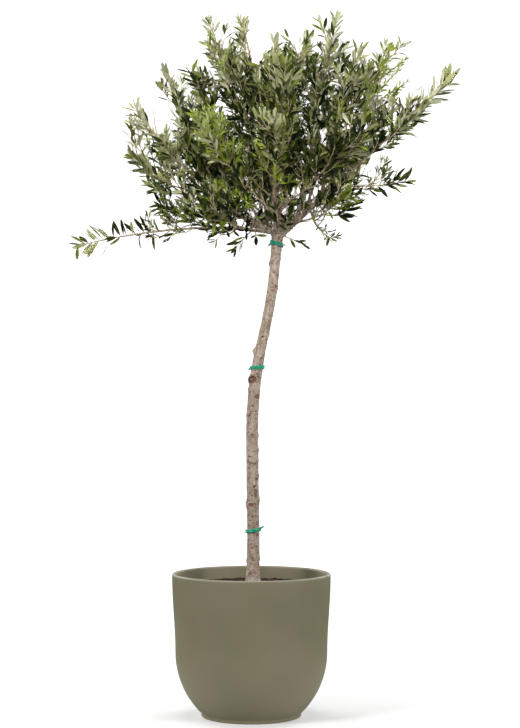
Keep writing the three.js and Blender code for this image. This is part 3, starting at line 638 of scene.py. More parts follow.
def turned(profile, sides):
    """Points and faces of a profile turned about +Z, whose first and last points are on the axis."""
    ring = np.arange(sides) * 2 * pi / sides
    round_points = [
        np.stack([r * np.cos(ring), r * np.sin(ring), np.full(sides, float(z))], 1)
        for r, z in profile[1:-1]
    ]
    points = np.concatenate([*round_points, [(0, 0, profile[0][1])], [(0, 0, profile[-1][1])]])
    rows = len(profile) - 2
    faces = []
    for i in range(rows - 1):
        for k in range(sides):
            a, b = i * sides + k, i * sides + (k + 1) % sides
            faces.append((a, b, b + sides, a + sides))
    foot, top = rows * sides, rows * sides + 1
    for k in range(sides):
        following = (k + 1) % sides
        last = (rows - 1) * sides
        faces.append((foot, following, k))
        faces.append((top, last + k, last + following))
    return points, faces


def add_planter():
    points, faces = turned(pot_profile(), POT_SIDES)
    piece = to_mesh("planter_turned", points, faces, [planter_material()])
    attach(piece, BODY)
    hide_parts("planter")


# ---- Soil ----


def lumps(x, y, width):
    """Soft rises and dips of about that width, from about -1 to 1."""
    return noise.fractal(Vector((x / width, y / width, 3.7)), 0.9, 2.0, 4)


def soil_height(x, y):
    r = hypot(x, y)
    edge = pot_radius(SOIL_EDGE_HEIGHT) - WALL
    mound = SOIL_MOUND * (1 - float(smoothstep(SOIL_MOUND_RADIUS, edge, r)))
    rough = 1 - float(smoothstep(edge - SOIL_SMOOTH_EDGE, edge, r))
    rise = sum(height * lumps(x, y, width) for height, width in SOIL_LUMPS)
    return SOIL_EDGE_HEIGHT - SOIL_SETTLED + mound + rough * rise


def turned_by(v, angle):
    """A direction turned about +Z."""
    c, s = cos(angle), sin(angle)
    return np.array([c * v[0] - s * v[1], s * v[0] + c * v[1], v[2]])


def strew_clods(points, faces, edge):
    """Adds small crumbs of soil to the lists of points and faces."""
    rng = np.random.default_rng(SOIL_SEED)
    for _ in range(CLODS):
        turn, out = 2 * pi * rng.random(), (edge - CLOD_INSET) * sqrt(rng.random())
        x, y = out * cos(turn), out * sin(turn)
        size = CLOD_SIZE[0] + CLOD_SIZE[1] * rng.random() ** 2
        start = len(points)
        core = np.array([x, y, soil_height(x, y) + CLOD_STAND * size])
        for direction in OCTAHEDRON:
            shape = np.array([1, 0.8, 0.6]) * (CLOD_VARIES[0] + CLOD_VARIES[1] * rng.random(3))
            points.append(tuple(core + size * shape * turned_by(direction, turn * 5)))
        faces.extend(tuple(start + k for k in face) for face in OCTAHEDRON_FACES)


def add_soil():
    edge = pot_radius(SOIL_EDGE_HEIGHT) - WALL - GAP
    sides = range(SOIL_SIDES)
    turns = [2 * pi * k / SOIL_SIDES for k in sides]
    points = [(0.0, 0.0, soil_height(0, 0))]
    for i in range(1, SOIL_RINGS + 1):
        for turn in turns:
            x, y = edge * i / SOIL_RINGS * cos(turn), edge * i / SOIL_RINGS * sin(turn)
            points.append((x, y, soil_height(x, y)))
    skirt, foot = len(points), edge - 4
    for turn in turns:
        points.append((foot * cos(turn), foot * sin(turn), SOIL_EDGE_HEIGHT - 30))
    faces = [(0, 1 + k, 1 + (k + 1) % SOIL_SIDES) for k in sides]
    for i in range(SOIL_RINGS):
        for k in sides:
            a, b = 1 + i * SOIL_SIDES + k, 1 + i * SOIL_SIDES + (k + 1) % SOIL_SIDES
            faces.append((a, a + SOIL_SIDES, b + SOIL_SIDES, b))
    faces.append(tuple(skirt + k for k in reversed(sides)))
    strew_clods(points, faces, edge)
    piece = to_mesh("soil_loose", points, faces, [soil_material()])
    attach(piece, BODY)
    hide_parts("soil")


# ---- Limbs ----


def catmull_rom(points):
    """Points along a centripetal Catmull-Rom curve, as the source's stem follows it."""
    ends = np.vstack([2 * points[0] - points[1], points, 2 * points[-1] - points[-2]])
    made = []
    for p0, p1, p2, p3 in zip(ends, ends[1:], ends[2:], ends[3:]):
        d0, d1, d2 = (np.linalg.norm(b - a) ** 0.5 for a, b in ((p0, p1), (p1, p2), (p2, p3)))
        t1 = ((p1 - p0) / d0 - (p2 - p0) / (d0 + d1) + (p2 - p1) / d1) * d1
        t2 = ((p2 - p1) / d1 - (p3 - p1) / (d1 + d2) + (p3 - p2) / d2) * d1
        for share in np.arange(SPAN_STEPS) / SPAN_STEPS:
            s2, s3 = share**2, share**3
            made.append(
                p1 * (2 * s3 - 3 * s2 + 1) + t1 * (s3 - 2 * s2 + share)
                + p2 * (3 * s2 - 2 * s3) + t2 * (s3 - s2)
            )
    return np.array([*made, points[-1]])


STEM_LINE = catmull_rom(STEM_COURSE[:, [1, 2, 0]])
STEM_FOOT, STEM_TOP = STEM_COURSE[0, 0], STEM_COURSE[-1, 0]


def stem_centre(z):
    return np.array([np.interp(z, STEM_LINE[:, 2], STEM_LINE[:, 0]),
                     np.interp(z, STEM_LINE[:, 2], STEM_LINE[:, 1]), z])


def stem_radius(z):
    return float(np.interp(z, STEM_RADII[:, 0], STEM_RADII[:, 1]))


FORK = stem_centre(STEM_TOP)


class Branch:
    """One bough with the line of the mass that goes on from it."""

    def __init__(self, row, order, grown):
        (self.name, parent, at, bearing, out, up, lift, self.bare, self.radius, self.spread) = row
        self.order = order
        if parent == "stem":
            self.root = stem_centre(mix(STEM_FOOT, STEM_TOP, at))
        else:
            self.root = grown[parent].at(at)
        turn = radians(bearing)
        self.tip = FORK + np.array([out * cos(turn), out * sin(turn), up])
        way = self.tip - self.root
        self.control = self.root + way * (CONTROL_SPREAD, CONTROL_SPREAD, lift)
        self.side = unit(np.cross(way, UP))
        self.tip_radius = self.radius * BOUGH_TIP_SHARE

    def at(self, share):
        left = 1 - share
        bend = left**2 * self.root + 2 * share * left * self.control + share**2 * self.tip
        stray = WANDER * sin(share * pi) * sin(share * WANDER_PACE + self.order)
        return bend + self.side * stray

    def line(self, low, high, steps):
        return np.array([self.at(mix(low, high, i / steps)) for i in range(steps + 1)])


branches = {}
for number, branch_row in enumerate(BRANCHES):
    branches[branch_row[0]] = Branch(branch_row, number, branches)


def tube(line, radii, sides, relief=None):
    """Points and triangles of a tube with a point at each end."""
    points, faces = [], []
    across = None
    turns = np.arange(sides) * 2 * pi / sides
    for i, centre in enumerate(line):
        along = unit(line[min(i + 1, len(line) - 1)] - line[max(i - 1, 0)])
        if across is None:
            across = UP if abs(along[2]) < 0.9 else np.cross((0, 1, 0), along)
        across = unit(across - along * np.dot(across, along))
        other = np.cross(along, across)
        reach = np.full(sides, float(radii[i]))
        if relief:
            reach = reach + relief(centre, turns)
        sideways = np.outer(np.cos(turns) * reach, across)
        points.append(centre + sideways + np.outer(np.sin(turns) * reach, other))
    rings = len(line)
    points = np.concatenate([*points, [line[0]], [line[-1]]])
    k = np.arange(sides)
    following = (k + 1) % sides
    for i in range(rings - 1):
        a = i * sides
        faces.append(np.stack([a + k, a + following, a + sides + following], 1))
        faces.append(np.stack([a + k, a + sides + following, a + sides + k], 1))
    last = (rings - 1) * sides
    faces.append(np.stack([np.full(sides, rings * sides), following, k], 1))
    faces.append(np.stack([np.full(sides, rings * sides + 1), last + k, last + following], 1))
    return points, np.concatenate(faces)


def stem_relief(centre, turns):
    """How far the knots make the stem stand out round one of its points."""
    out = np.zeros(len(turns))
    for z, bearing, stand, reach in STEM_KNOTS:
        round_way = turns - radians(bearing)
        across = np.arctan2(np.sin(round_way), np.cos(round_way)) * stem_radius(centre[2])
        distance = np.hypot(centre[2] - z, across)
        out += stand * np.exp(-2 * (distance / reach) ** 2)
    return out


def join(parts):
    """One list of points and one of faces from several."""
    points, faces, start = [], [], 0
    for part_points, part_faces in parts:
        points.append(part_points)
        faces.append(part_faces + start)
        start += len(part_points)
    return np.concatenate(points), np.concatenate(faces)


def limb_skin():
    """One skin round the stem and the bare boughs, with soft joints."""
    heights = np.linspace(STEM_FOOT, STEM_TOP + BARK_OVERLAP, BARK_ROWS)
    line = np.array([stem_centre(min(z, STEM_TOP)) + UP * max(z - STEM_TOP, 0) for z in heights])
    parts = [tube(line, [stem_radius(z) for z in heights], BARK_SIDES, stem_relief)]
    for branch in branches.values():
        radii = mix(branch.radius, branch.tip_radius, np.sqrt(np.linspace(0, 1, BOUGH_ROWS)))
        parts.append(tube(branch.line(0, branch.bare, BOUGH_ROWS - 1), radii, BOUGH_SIDES))
    points, faces = join(parts)
    rough = to_mesh("rough_limbs", points, faces, [])
    remesh = rough.modifiers.new("skin", "REMESH")
    remesh.mode = "VOXEL"
    remesh.voxel_size = BARK_VOXEL * MM
    smooth = rough.modifiers.new("ease", "SMOOTH")
    smooth.factor = 0.5
    smooth.iterations = 3
    bpy.context.view_layer.update()
    graph = bpy.context.evaluated_depsgraph_get()
    mesh = bpy.data.meshes.new_from_object(rough.evaluated_get(graph))
    bpy.data.objects.remove(rough)
    return mesh


def add_bark():
    mesh = limb_skin()
    place, normals = vertex_values(mesh, "co"), vertex_values(mesh, "normal")
    wrinkle = np.array([
        FURROW_DEPTH * noise.fractal(Vector(furrow), 0.8, 2.1, 4)
        + GRAIN_DEPTH * noise.noise(Vector(grain))
        for furrow, grain in zip(place * FURROW_SCALE, place * GRAIN_SCALE)
    ])
    shade, dent = eyes_at(place / MM)
    place += normals * ((wrinkle + dent) * MM)[:, None]
    mesh.vertices.foreach_set("co", place.ravel())
    dark = mesh.attributes.new("knot", "FLOAT", "POINT")
    dark.data.foreach_set("value", shade)
    mesh.materials.append(bark_material())
    mesh.polygons.foreach_set("use_smooth", np.ones(len(mesh.polygons), bool))
    mesh.update()
    piece = bpy.data.objects.new("bark", mesh)
    show(piece)
    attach(piece, BODY)
    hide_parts("stem", *[f"bough_{name}" for name in branches])


def eyes_at(place):
    """At each point in mm, how dark the eyes of the bark make it and how far they lift it."""
    shade, dent = np.zeros(len(place)), np.zeros(len(place))
    centres = np.array([np.interp(place[:, 2], STEM_LINE[:, 2], STEM_LINE[:, k]) for k in (0, 1)]).T
    around = np.arctan2(place[:, 1] - centres[:, 1], place[:, 0] - centres[:, 0])
    out = np.linalg.norm(place[:, :2] - centres, axis=1)
    on_stem = (out < STEM_RANGE) & (place[:, 2] < STEM_TOP)
    rng = np.random.default_rng(EYES_SEED)
    eyes = list(STEM_EYES)
    for _ in range(BACK_EYES):
        spot = rng.uniform(*BACK_EYE_SPAN)
        eyes.append((*spot, rng.uniform(*BACK_EYE_RADIUS), rng.uniform(*BACK_EYE_DARK)))
    for z, bearing, r, dark in eyes:
        turn = around - radians(bearing)
        across = np.arctan2(np.sin(turn), np.cos(turn)) * stem_radius(z)
        distance = np.hypot(across, place[:, 2] - z)
        spot = np.exp(-((distance / (1.2 * r)) ** 4))
        ring = np.exp(-(((distance - 0.8 * r) / (0.45 * r)) ** 2)) if r > RINGED_EYE else 0 * spot
        middle = 0.62 * spot if r > RINGED_EYE else 1.2 * spot
        lip = np.exp(-(((distance - 1.3 * r) / (0.6 * r)) ** 2))
        shade += dark * np.maximum(ring, middle) * on_stem
        dent += (0.7 * lip - 0.6 * spot) * on_stem
    return np.clip(shade, 0, 1).astype(np.float32), dent


# ---- Ties ----


def tie_line(z, tilt, strand):
    """One turn of a tie along the stem's own skin."""
    line = []
    for turn in np.arange(TIE_STEPS) * 2 * pi / TIE_STEPS:
        level = z + strand * TIE_PITCH / 2 - tilt * stem_radius(z) * cos(turn)
        centre = stem_centre(level)
        skin = stem_radius(level) + stem_relief(centre, np.array([turn]))[0]
        reach = skin + TIE_STRAND / 2 - TIE_GRIP
        line.append(centre + reach * np.array([cos(turn), sin(turn), 0]))
    return line


def tie_loop(line):
    """Points and quads of a strand along a closed line round the stem."""
    ring = np.arange(TIE_SIDES) * 2 * pi / TIE_SIDES
    points, faces = [], []
    for i, centre in enumerate(line):
        following = (i + 1) % TIE_STEPS
        heading = unit(line[following] - line[i - 1])
        out = unit(centre - stem_centre(centre[2]))
        out = unit(out - heading * np.dot(out, heading))
        other = np.cross(heading, out)
        round_it = np.outer(np.cos(ring), out) + np.outer(np.sin(ring), other)
        points.append(centre + TIE_STRAND / 2 * round_it)
        for k in range(TIE_SIDES):
            beside = (k + 1) % TIE_SIDES
            here, there = i * TIE_SIDES, following * TIE_SIDES
            faces.append((here + k, here + beside, there + beside, there + k))
    return np.concatenate(points), np.array(faces)


def add_tie(name, z, slope, tail_bearing, tail_way, material):
    """A snug band of two turns that follow the stem's own skin, with its loose end."""
    along = unit(stem_centre(z + 10) - stem_centre(z - 10))
    tilt = tan(radians(slope)) + along[0]
    lines = [tie_line(z, tilt, strand) for strand in TIE_STRANDS]
    start = lines[-1][int(round(tail_bearing * TIE_STEPS / 360)) % TIE_STEPS]
    way = unit(np.array(tail_way))
    tail = np.array([start + way * TAIL_LENGTH * share for share in (0, 0.35, 0.7, 1)])
    parts = [tie_loop(line) for line in lines]
    parts.append(tube(tail, TIE_STRAND / 2 * np.array([1, 0.95, 0.9, 0.8]), TIE_SIDES))
    faces, count = [], 0
    for part_points, part_faces in parts:
        faces += [tuple(face) for face in part_faces + count]
        count += len(part_points)
    points = np.concatenate([part_points for part_points, _ in parts])
    piece = to_mesh(f"{name}_band", points, faces, [material])
    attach(piece, BODY)
    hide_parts(name)


# ---- Twigs and leaves ----


def lengths_along(line):
    return np.concatenate([[0], np.cumsum(np.linalg.norm(np.diff(line, axis=0), axis=1))])


def point_at(line, lengths, distance):
    """The point and heading at a distance along a line."""
    i = int(np.clip(np.searchsorted(lengths, distance) - 1, 0, len(line) - 2))
    share = (distance - lengths[i]) / max(lengths[i + 1] - lengths[i], 1e-6)
    return mix(line[i], line[i + 1], share), unit(line[i + 1] - line[i])


def square_to(heading, turn):
    """A direction square to a heading, turned round it by degrees."""
    across = unit(np.cross(heading, UP if abs(heading[2]) < 0.95 else (1, 0, 0)))
    angle = radians(turn)
    return across * cos(angle) + np.cross(heading, across) * sin(angle)


def towards(heading, out, degrees):
    """A heading leaned out by degrees."""
    angle = radians(degrees)
    return heading * cos(angle) + out * sin(angle)


def shoot_line(root, way, length, rise, rng):
    """A shoot's line, which turns up as it grows."""
    points = [root]
    heading = way
    for _ in range(SHOOT_STEPS):
        heading = unit(heading + UP * rise / SHOOT_STEPS + 0.05 * rng.normal(size=3))
        points.append(points[-1] + heading * length / SHOOT_STEPS)
    return np.array(points)


def kind_for(point, rng):
    """The kind of a shoot's leaves: grey as painted light at the tips and above, dark as painted shade
    inside and below.
    """
    from_middle = (point - (FORK + CROWN_MIDDLE)) / CROWN_REACH
    height = (point[2] - FORK[2]) / 500
    sideways = from_middle[0]
    light = LIGHT_OUTER * np.linalg.norm(from_middle) + LIGHT_HEIGHT * height
    light = light + LIGHT_SIDES * sideways**2 - LIGHT_LEFT * sideways
    near = max(
        exp(-((np.linalg.norm(point - (FORK + spot[:3])) / spot[3]) ** 2)) for spot in YOUNG_SPOTS
    )
    if rng.random() < YOUNG_ANYWHERE + YOUNG_MORE * near:
        return "leaves_young"
    level = light + 0.2 * rng.normal()
    return SHADES[int(np.searchsorted(SHADE_LIMITS, level))]


def stray_kind(kind, rng):
    """The kind of one leaf of a shoot, at times a shade off the others'."""
    if kind not in SHADES or rng.random() > STRAY_KIND:
        return kind
    step = rng.choice([-2, -1, 1, 2], p=[0.26, 0.3, 0.25, 0.19])
    return SHADES[int(np.clip(SHADES.index(kind) + step, 0, len(SHADES) - 1))]


def segments_of_limbs():
    """Starts, ends and radii of the stem and the bare boughs."""
    heights = np.linspace(LIMBS_FROM, STEM_TOP, 14)
    line = np.array([stem_centre(z) for z in heights])
    rows = [(a, b, stem_radius(z)) for a, b, z in zip(line, line[1:], heights)]
    for branch in branches.values():
        line = branch.line(0, branch.bare, 6)
        rows += [(a, b, branch.radius * LIMB_SHARE) for a, b in zip(line, line[1:])]
    starts, ends, radii = zip(*rows)
    return np.array(starts), np.array(ends), np.array(radii)


def clearance(points, starts, ends, radii):
    """The least distance of each point from the limbs' skin."""
    way = ends - starts
    offset = points[:, None] - starts[None]
    share = np.clip(np.einsum("pik,ik->pi", offset, way) / np.einsum("ik,ik->i", way, way), 0, 1)
    nearest = starts[None] + share[..., None] * way[None]
    return (np.linalg.norm(points[:, None] - nearest, axis=2) - radii).min(axis=1)


def in_gap(points, gaps):
    """Whether each point lies in one of the gaps as the camera sees it."""
    depth = points[:, 1] / EYE[1]
    seen = EYE + (points - EYE) / (1 - depth)[:, None]
    across = seen[:, None, 0] - FORK[0] - gaps[:, 0]
    up = seen[:, None, 2] - FORK[2] - gaps[:, 1]
    return (np.hypot(across, up) < gaps[:, 2]).any(axis=1)


def within(line):
    """Whether a shoot, with its last leaf, stays out of wide gaps and in the source's box."""
    tip = line[-1] + unit(line[-1] - line[-2]) * 0.55 * LEAF_LENGTH
    if in_gap(line, SKY_GAPS[SKY_GAPS[:, 2] > WIDE_GAP]).any():
        return False
    return bool(np.all(tip > BOX_LOW - SHOOT_LEEWAY) and np.all(tip < BOX_HIGH + SHOOT_LEEWAY))


class Foliage:
    """The twigs and leaves as they grow, clear of the limbs."""

    def __init__(self, limbs):
        self.limbs = limbs
        self.twigs = []
        self.leaves = {kind: [] for kind in LEAF_PAINTS}

    def add_leaf(self, kind, root, axis, normal, length, rng):
        """One leaf's row: root, axis, face, length, width as a share of it, and bend."""
        normal = unit(normal - axis * np.dot(normal, axis))
        bend = radians(varied(LEAF_BEND, rng))
        width = LEAF_WIDTH * varied(LEAF_WIDTH_VARIES, rng)
        self.leaves[stray_kind(kind, rng)].append((*root, *axis, *normal, length, width, bend))

    def add_pairs(self, line, first, last, size, turn, kind, rng, wider=0, closer=1):
        """Pairs of leaves along a twig, each pair turned by a quarter, and a tuft at its tip."""
        lengths = lengths_along(line)
        whole = lengths[-1]
        if kind == "leaves_young":
            size *= YOUNG_SIZE
            closer *= YOUNG_SIZE
        step = closer * LEAF_STEP * varied(LEAF_STEP_VARIES, rng)
        count = max(int((last - first) * whole / step), 1)
        for i in range(count):
            distance = whole * first + (last - first) * whole * (i + 0.5) / count
            root, heading = point_at(line, lengths, distance)
            share = distance / whole
            if wider:
                out = square_to(heading, 90 + WIDE_TURN_STRAY * rng.normal())
            else:
                out = square_to(heading, turn + i * NODE_TURN + LEAF_TURN_STRAY * rng.normal())
            for way in (out, -out):
                if rng.random() < (WIDE_MISSING if wider and way[2] < 0 else LEAF_MISSING):
                    continue
                angle = varied(LEAF_ANGLE, rng) + LEAF_ROOT_ANGLE * (1 - share) + wider
                axis = towards(heading, way, angle)
                upper = heading + 0.35 * UP + LEAF_TWIST * rng.normal(size=3)
                if wider:
                    upper = np.array([0.9, 0.8, 0.3]) * rng.normal(size=3)
                    axis = unit(axis + 0.3 * UP + 0.2 * rng.normal(size=3))
                length = size * varied(LEAF_VARIES, rng) * (1 - LEAF_TIP_LOSS * share**2)
                self.add_leaf(kind, root, axis, upper, length, rng)
        tip, heading = point_at(line, lengths, whole)
        self.add_leaf(kind, tip, heading, square_to(heading, turn), TIP_SIZE * size, rng)
        out = square_to(heading, turn + 90 * rng.random())
        for way in (out, -out):
            axis = towards(heading, way, varied(TUFT_ANGLE, rng))
            root, upper = tip - 3 * heading, -way + 0.2 * UP
            self.add_leaf(kind, root, axis, upper, TUFT_SIZE * size, rng)

    def room_for(self, root, way, length, rng):
        """A shoot's line, shortened until it fits, or None."""
        for part in SHOOT_TRIES:
            line = shoot_line(root, way, length * part, SHOOT_RISE, rng)
            if clearance(line[2:], *self.limbs).min() > LIMB_MARGIN and within(line):
                return line
        return None

    def grow_shoot(self, root, way, length, turn, branch, rng, forks=True):
        """A leafy side shoot of a mass, and the two that a long one bears in turn."""
        line = self.room_for(root, way, length, rng)
        if line is None:
            return
        lengths = lengths_along(line)
        whole = lengths[-1]
        thickness = SHOOT_RADIUS * min(1, SHOOT_THINNEST + whole / SHOOT_FULL)
        self.twigs.append((line, tapered(thickness, SHOOT_TAPER, len(line)), SHOOT_SIDES))
        kind = kind_for(line[-1], rng)
        size = SHOOT_LEAVES * LEAF_LENGTH * min(branch.spread / SHOOT_LEAVES_SPREAD, SHOOT_LEAVES_MOST)
        height = float(np.clip((root[2] - FORK[2]) / LEAFLESS_HEIGHT, 0, 1))
        self.add_pairs(line, mix(*LEAFLESS, height), LEAF_LAST, size, turn, kind, rng)
        if forks and whole > FORKING:
            for share in FORK_SHARES:
                base, heading = point_at(line, lengths, share * whole)
                way = towards(heading, square_to(heading, 360 * rng.random()), FORK_ANGLE)
                turn = 360 * rng.random()
                self.grow_shoot(base, way, whole * FORK_SIZE, turn, branch, rng, False)

    def grow_mass(self, branch):
        """The stem of a mass with its side shoots and leaves, in place of the source's solid."""
        rng = np.random.default_rng(MASS_SEED + branch.order)
        line = branch.line(branch.bare, 1, 24)
        lengths = lengths_along(line)
        whole = lengths[-1] - MASS_SHY * LEAF_LENGTH
        steps = whole * np.arange(MASS_STEPS + 1) / MASS_STEPS
        stem = np.array([point_at(line, lengths, step)[0] for step in steps])
        self.twigs.append((stem, tapered(branch.tip_radius, STEM_TAPER, len(stem)), STEM_SIDES))
        lengths = lengths_along(stem)
        turn = branch.order * FIRST_TURN
        spray = EARLY_SPRAY.get(branch.name, SPRAY)
        count = int(whole * (spray - STEM_FIRST) / STEM_STEP) + 1
        reach = branch.spread - SHOOT_SHY * LEAF_LENGTH
        for i in range(count):
            share = mix(STEM_FIRST, spray, i / max(count - 1, 1))
            root, heading = point_at(stem, lengths, share * whole)
            out = square_to(heading, turn + i * NODE_TURN + NODE_STRAY * rng.normal())
            for way in (out, -out):
                length = reach * (varied(SHOOT_REACH, rng) * (1 - SHOOT_LOSS * share))
                way = towards(heading, way, SHOOT_ANGLE - SHOOT_CLOSING * share)
                self.grow_shoot(root, way, length, 360 * rng.random(), branch, rng)
        self.dress_stem(branch, stem, min(spray, STEM_LEAVES_FIRST), turn, rng)
        self.grow_spurs(branch, rng)

    def dress_stem(self, branch, stem, first, turn, rng):
        """The leaves on a mass's own stem; two sprays of them stand wide and mostly upright."""
        last = 0.99
        wider = WIDE_LEAVES.get(branch.name, 0)
        if wider:
            size = WIDE_SIZE * LEAF_LENGTH
            inner, outer = WIDE_CLOSER
            half = len(stem) * 2 // 3
            start = WIDE_FIRST * first
            self.add_pairs(stem[:half], start, last, size, 0, "leaves_deep", rng, wider, inner)
            self.add_pairs(stem[half - 1:], 0, last, size, 0, "leaves_mid", rng, wider / 2, outer)
        else:
            kind = kind_for(stem[-1] + KIND_LIFT * UP, rng)
            size = STEM_LEAVES * LEAF_LENGTH * min(branch.spread / STEM_LEAVES_SPREAD, 1)
            size *= LARGE_LEAVES.get(branch.name, 1)
            self.add_pairs(stem, first, last, size, turn + 45, kind, rng, 0, CLOSE_PAIRS)

    def grow_spurs(self, branch, rng):
        """Short leafy twigs on the outer part of the bough itself."""
        line = branch.line(0, branch.bare, 12)
        lengths = lengths_along(line)
        first = lengths[-1] * SPUR_FIRST
        count = int((lengths[-1] - first) / SPUR_STEP)
        for i in range(count):
            root, heading = point_at(line, lengths, first + (i + rng.random()) * SPUR_STEP)
            out = square_to(heading, 360 * rng.random())
            root, way = root + out * branch.tip_radius, towards(heading, out, 58)
            length = varied(SPUR_LENGTH, rng)
            self.grow_shoot(root, way, length, 360 * rng.random(), branch, rng, False)

    def grow_extra(self):
        rng = np.random.default_rng(EXTRA_SEED)
        for name, share, bearing, rise, length in EXTRA_TWIGS:
            turn = radians(bearing)
            way = unit(np.array([cos(turn), sin(turn), rise]))
            line = shoot_line(branches[name].at(share), way, length, EXTRA_RISE * rise, rng)
            self.twigs.append((line, tapered(SHOOT_RADIUS, SHOOT_TAPER, len(line)), SHOOT_SIDES))
            kind = kind_for(line[-1], rng)
            size = SHOOT_LEAVES * LEAF_LENGTH
            self.add_pairs(line, LEAFLESS[0], LEAF_LAST, size, 90, kind, rng)


def leaf_template():
    """A leaf's points as share along, share across and ridge, for its top and its underside."""
    rows = [(0, 0, 0)]
    for share, half in LEAF_STATIONS:
        rows += [(share, half, 0), (share, 0, half), (share, -half, 0)]
    rows.append((1, 0, 0))
    faces = [(0, 3, 2), (0, 2, 1)]
    for i in range(len(LEAF_STATIONS) - 1):
        left, middle, right = 1 + 3 * i, 2 + 3 * i, 3 + 3 * i
        faces += [(middle, right, right + 3), (middle, right + 3, middle + 3)]
        faces += [(left, middle, middle + 3), (left, middle + 3, left + 3)]
    tip = len(rows) - 1
    faces += [(tip - 2, tip - 1, tip), (tip - 3, tip - 2, tip)]
    under = [(a + len(rows), c + len(rows), b + len(rows)) for a, b, c in faces]
    return np.array(rows, float), np.array(faces + under)


def add_leaves(kind, rows):
    """One joined piece of all the leaves of a kind, each bent along its length."""
    template, faces = leaf_template()
    root, axis, normal = rows[:, 0:3], rows[:, 3:6], rows[:, 6:9]
    length, width, bend = rows[:, 9], rows[:, 10] * rows[:, 9], rows[:, 11]
    side = np.cross(normal, axis)
    share, across, ridge = template[:, 0], template[:, 1], template[:, 2]
    angle = bend[:, None] * share[None]
    forward = np.sin(angle) / bend[:, None] * length[:, None]
    drop = (1 - np.cos(angle)) / bend[:, None] * length[:, None]
    local_normal = normal[:, None] * np.cos(angle)[..., None] + axis[:, None] * np.sin(angle)[..., None]
    centre = root[:, None] + axis[:, None] * forward[..., None] - normal[:, None] * drop[..., None]
    centre = centre + side[:, None] * (across[None] * width[:, None])[..., None]
    stand = 2 * LEAF_RIDGE * ridge[None] * width[:, None]
    top = centre + local_normal * stand[..., None]
    thin = np.where(ridge > 0, LEAF_THICKNESS, 0.0)
    under = centre + local_normal * (stand - thin[None])[..., None]
    points = np.concatenate([top, under], axis=1)
    per_leaf = points.shape[1]
    all_faces = (faces[None] + np.arange(len(rows))[:, None, None] * per_leaf).reshape(-1, 3)
    kinds = np.tile(np.repeat([0, 1], len(faces) // 2), len(rows))
    materials = [leaf_material(*side) for side in LEAF_PAINTS[kind]]
    piece = to_mesh(kind, points.reshape(-1, 3), all_faces, materials, kinds)
    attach(piece, BODY)


def leaves_kept(rows, limbs):
    """The leaves that are clear of the limbs and the gaps and in the source's box."""
    reach = rows[:, 3:6] * rows[:, 9:10]
    middle = rows[:, 0:3] + reach * 0.5
    tips = rows[:, 0:3] + reach * 0.95
    kept = clearance(middle, *limbs) > LEAF_LIMB_MARGIN
    kept &= clearance(tips, *limbs) > LEAF_LIMB_MARGIN
    kept &= np.all((tips > BOX_LOW - LEAF_LEEWAY) & (tips < BOX_HIGH + LEAF_LEEWAY), axis=1)
    kept &= ~(in_gap(middle, SKY_GAPS + (0, 0, GAP_SEAM)) | in_gap(tips, SKY_GAPS))
    return rows[kept]


def add_foliage():
    limbs = segments_of_limbs()
    foliage = Foliage(limbs)
    for branch in branches.values():
        foliage.grow_mass(branch)
    foliage.grow_extra()
    points, faces = join([tube(line, radii, sides) for line, radii, sides in foliage.twigs])
    twigs = to_mesh("twigs", points, faces, [twig_material()])
    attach(twigs, BODY)
    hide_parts(*[f"foliage_{name}" for name in branches])
    for kind, rows in foliage.leaves.items():
        add_leaves(kind, leaves_kept(np.array(rows), limbs))


# ---- Stage ----


def flat_tones(paint, tones):
    """Lets a stage material vary a little between two greys."""
    stops = [(mark, (tone, tone, tone, 1)) for mark, tone in zip((0.3, 0.7), tones)]
    paint.feed("Base Color", paint.ramp(paint.noise(1.5, 2), stops))


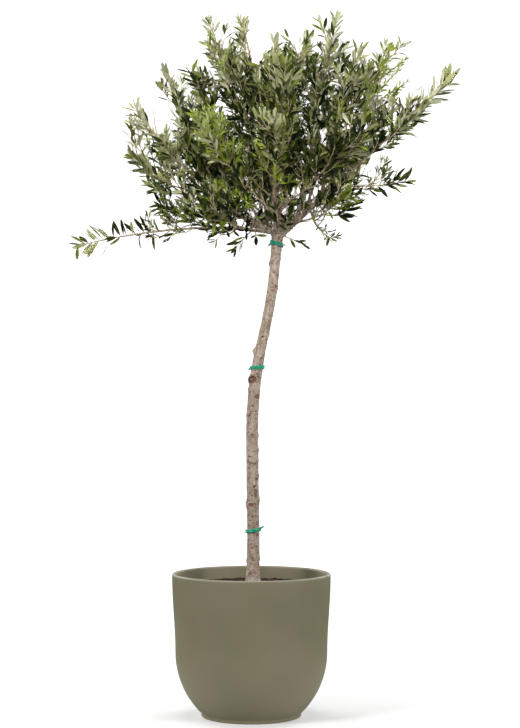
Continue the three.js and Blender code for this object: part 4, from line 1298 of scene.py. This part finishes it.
def add_floor():
    """A pale floor that takes the planter's shadow but throws no light back on it."""
    paint = Paint("floor_white", Roughness=0.9, Specular_IOR_Level=0.1, Emission_Strength=FLOOR_GLOW)
    paint.shader.inputs["Emission Color"].default_value = WHITE
    flat_tones(paint, FLOOR_TONES)
    corners = np.array([(-1, -1, 0), (1, -1, 0), (1, 1, 0), (-1, 1, 0)]) * FLOOR_HALF
    floor = to_mesh("floor", corners, [(0, 1, 2, 3)], [paint.material])
    floor.visible_diffuse = floor.visible_glossy = floor.visible_shadow = False
    under = Paint("floor_bounce", Roughness=0.9, Specular_IOR_Level=0)
    flat_tones(under, BOUNCE_TONES)
    bounce = to_mesh("floor_bounce", corners * BOUNCE_SHARE - UP, [(0, 1, 2, 3)], [under.material])
    bounce.visible_camera = False


def add_backdrop():
    """A white dome that only the camera sees, so that it doesn't light the leaves from all sides."""
    paint = Paint("backdrop_white", Emission_Strength=1.3)
    paint.shader.inputs["Emission Color"].default_value = WHITE
    profile = [(0, -DOME_RADIUS)]
    for turn in map(radians, range(-85, 90, 5)):
        profile.append((DOME_RADIUS * cos(turn), DOME_RADIUS * sin(turn)))
    profile.append((0, DOME_RADIUS))
    points, faces = turned(profile, 48)
    dome = to_mesh("backdrop", points, faces, [paint.material])
    dome.visible_diffuse = dome.visible_glossy = dome.visible_transmission = dome.visible_shadow = False


def add_light(name, place, aim, size, power, spread):
    data = bpy.data.lights.new(name, "AREA")
    data.shape = "SQUARE"
    data.size = size
    data.energy = power
    data.spread = radians(spread)
    lamp = bpy.data.objects.new(name, data)
    lamp.location = place
    lamp.rotation_euler = (Vector(aim) - Vector(place)).to_track_quat("-Z", "Y").to_euler()
    show(lamp)


def add_camera():
    data = bpy.data.cameras.new("camera")
    data.sensor_width = 36
    data.lens = LENS
    data.clip_end = 100
    camera = bpy.data.objects.new("camera", data)
    camera.location = EYE * MM
    camera.rotation_euler = (radians(90 + CAMERA_TILT), 0, 0)
    show(camera)
    bpy.context.scene.camera = camera


def add_stage():
    add_floor()
    add_backdrop()
    world = bpy.data.worlds.new("studio")
    world.use_nodes = True
    background = world.node_tree.nodes["Background"]
    background.inputs["Color"].default_value = WHITE
    background.inputs["Strength"].default_value = WORLD_LIGHT
    bpy.context.scene.world = world
    for light in LIGHTS:
        add_light(*light)
    add_camera()
    bpy.context.scene.view_settings.view_transform = "Standard"


add_planter()
add_soil()
add_bark()
tie_paint = tie_material()
for tie in TIES:
    add_tie(*tie, tie_paint)
add_foliage()
add_stage()
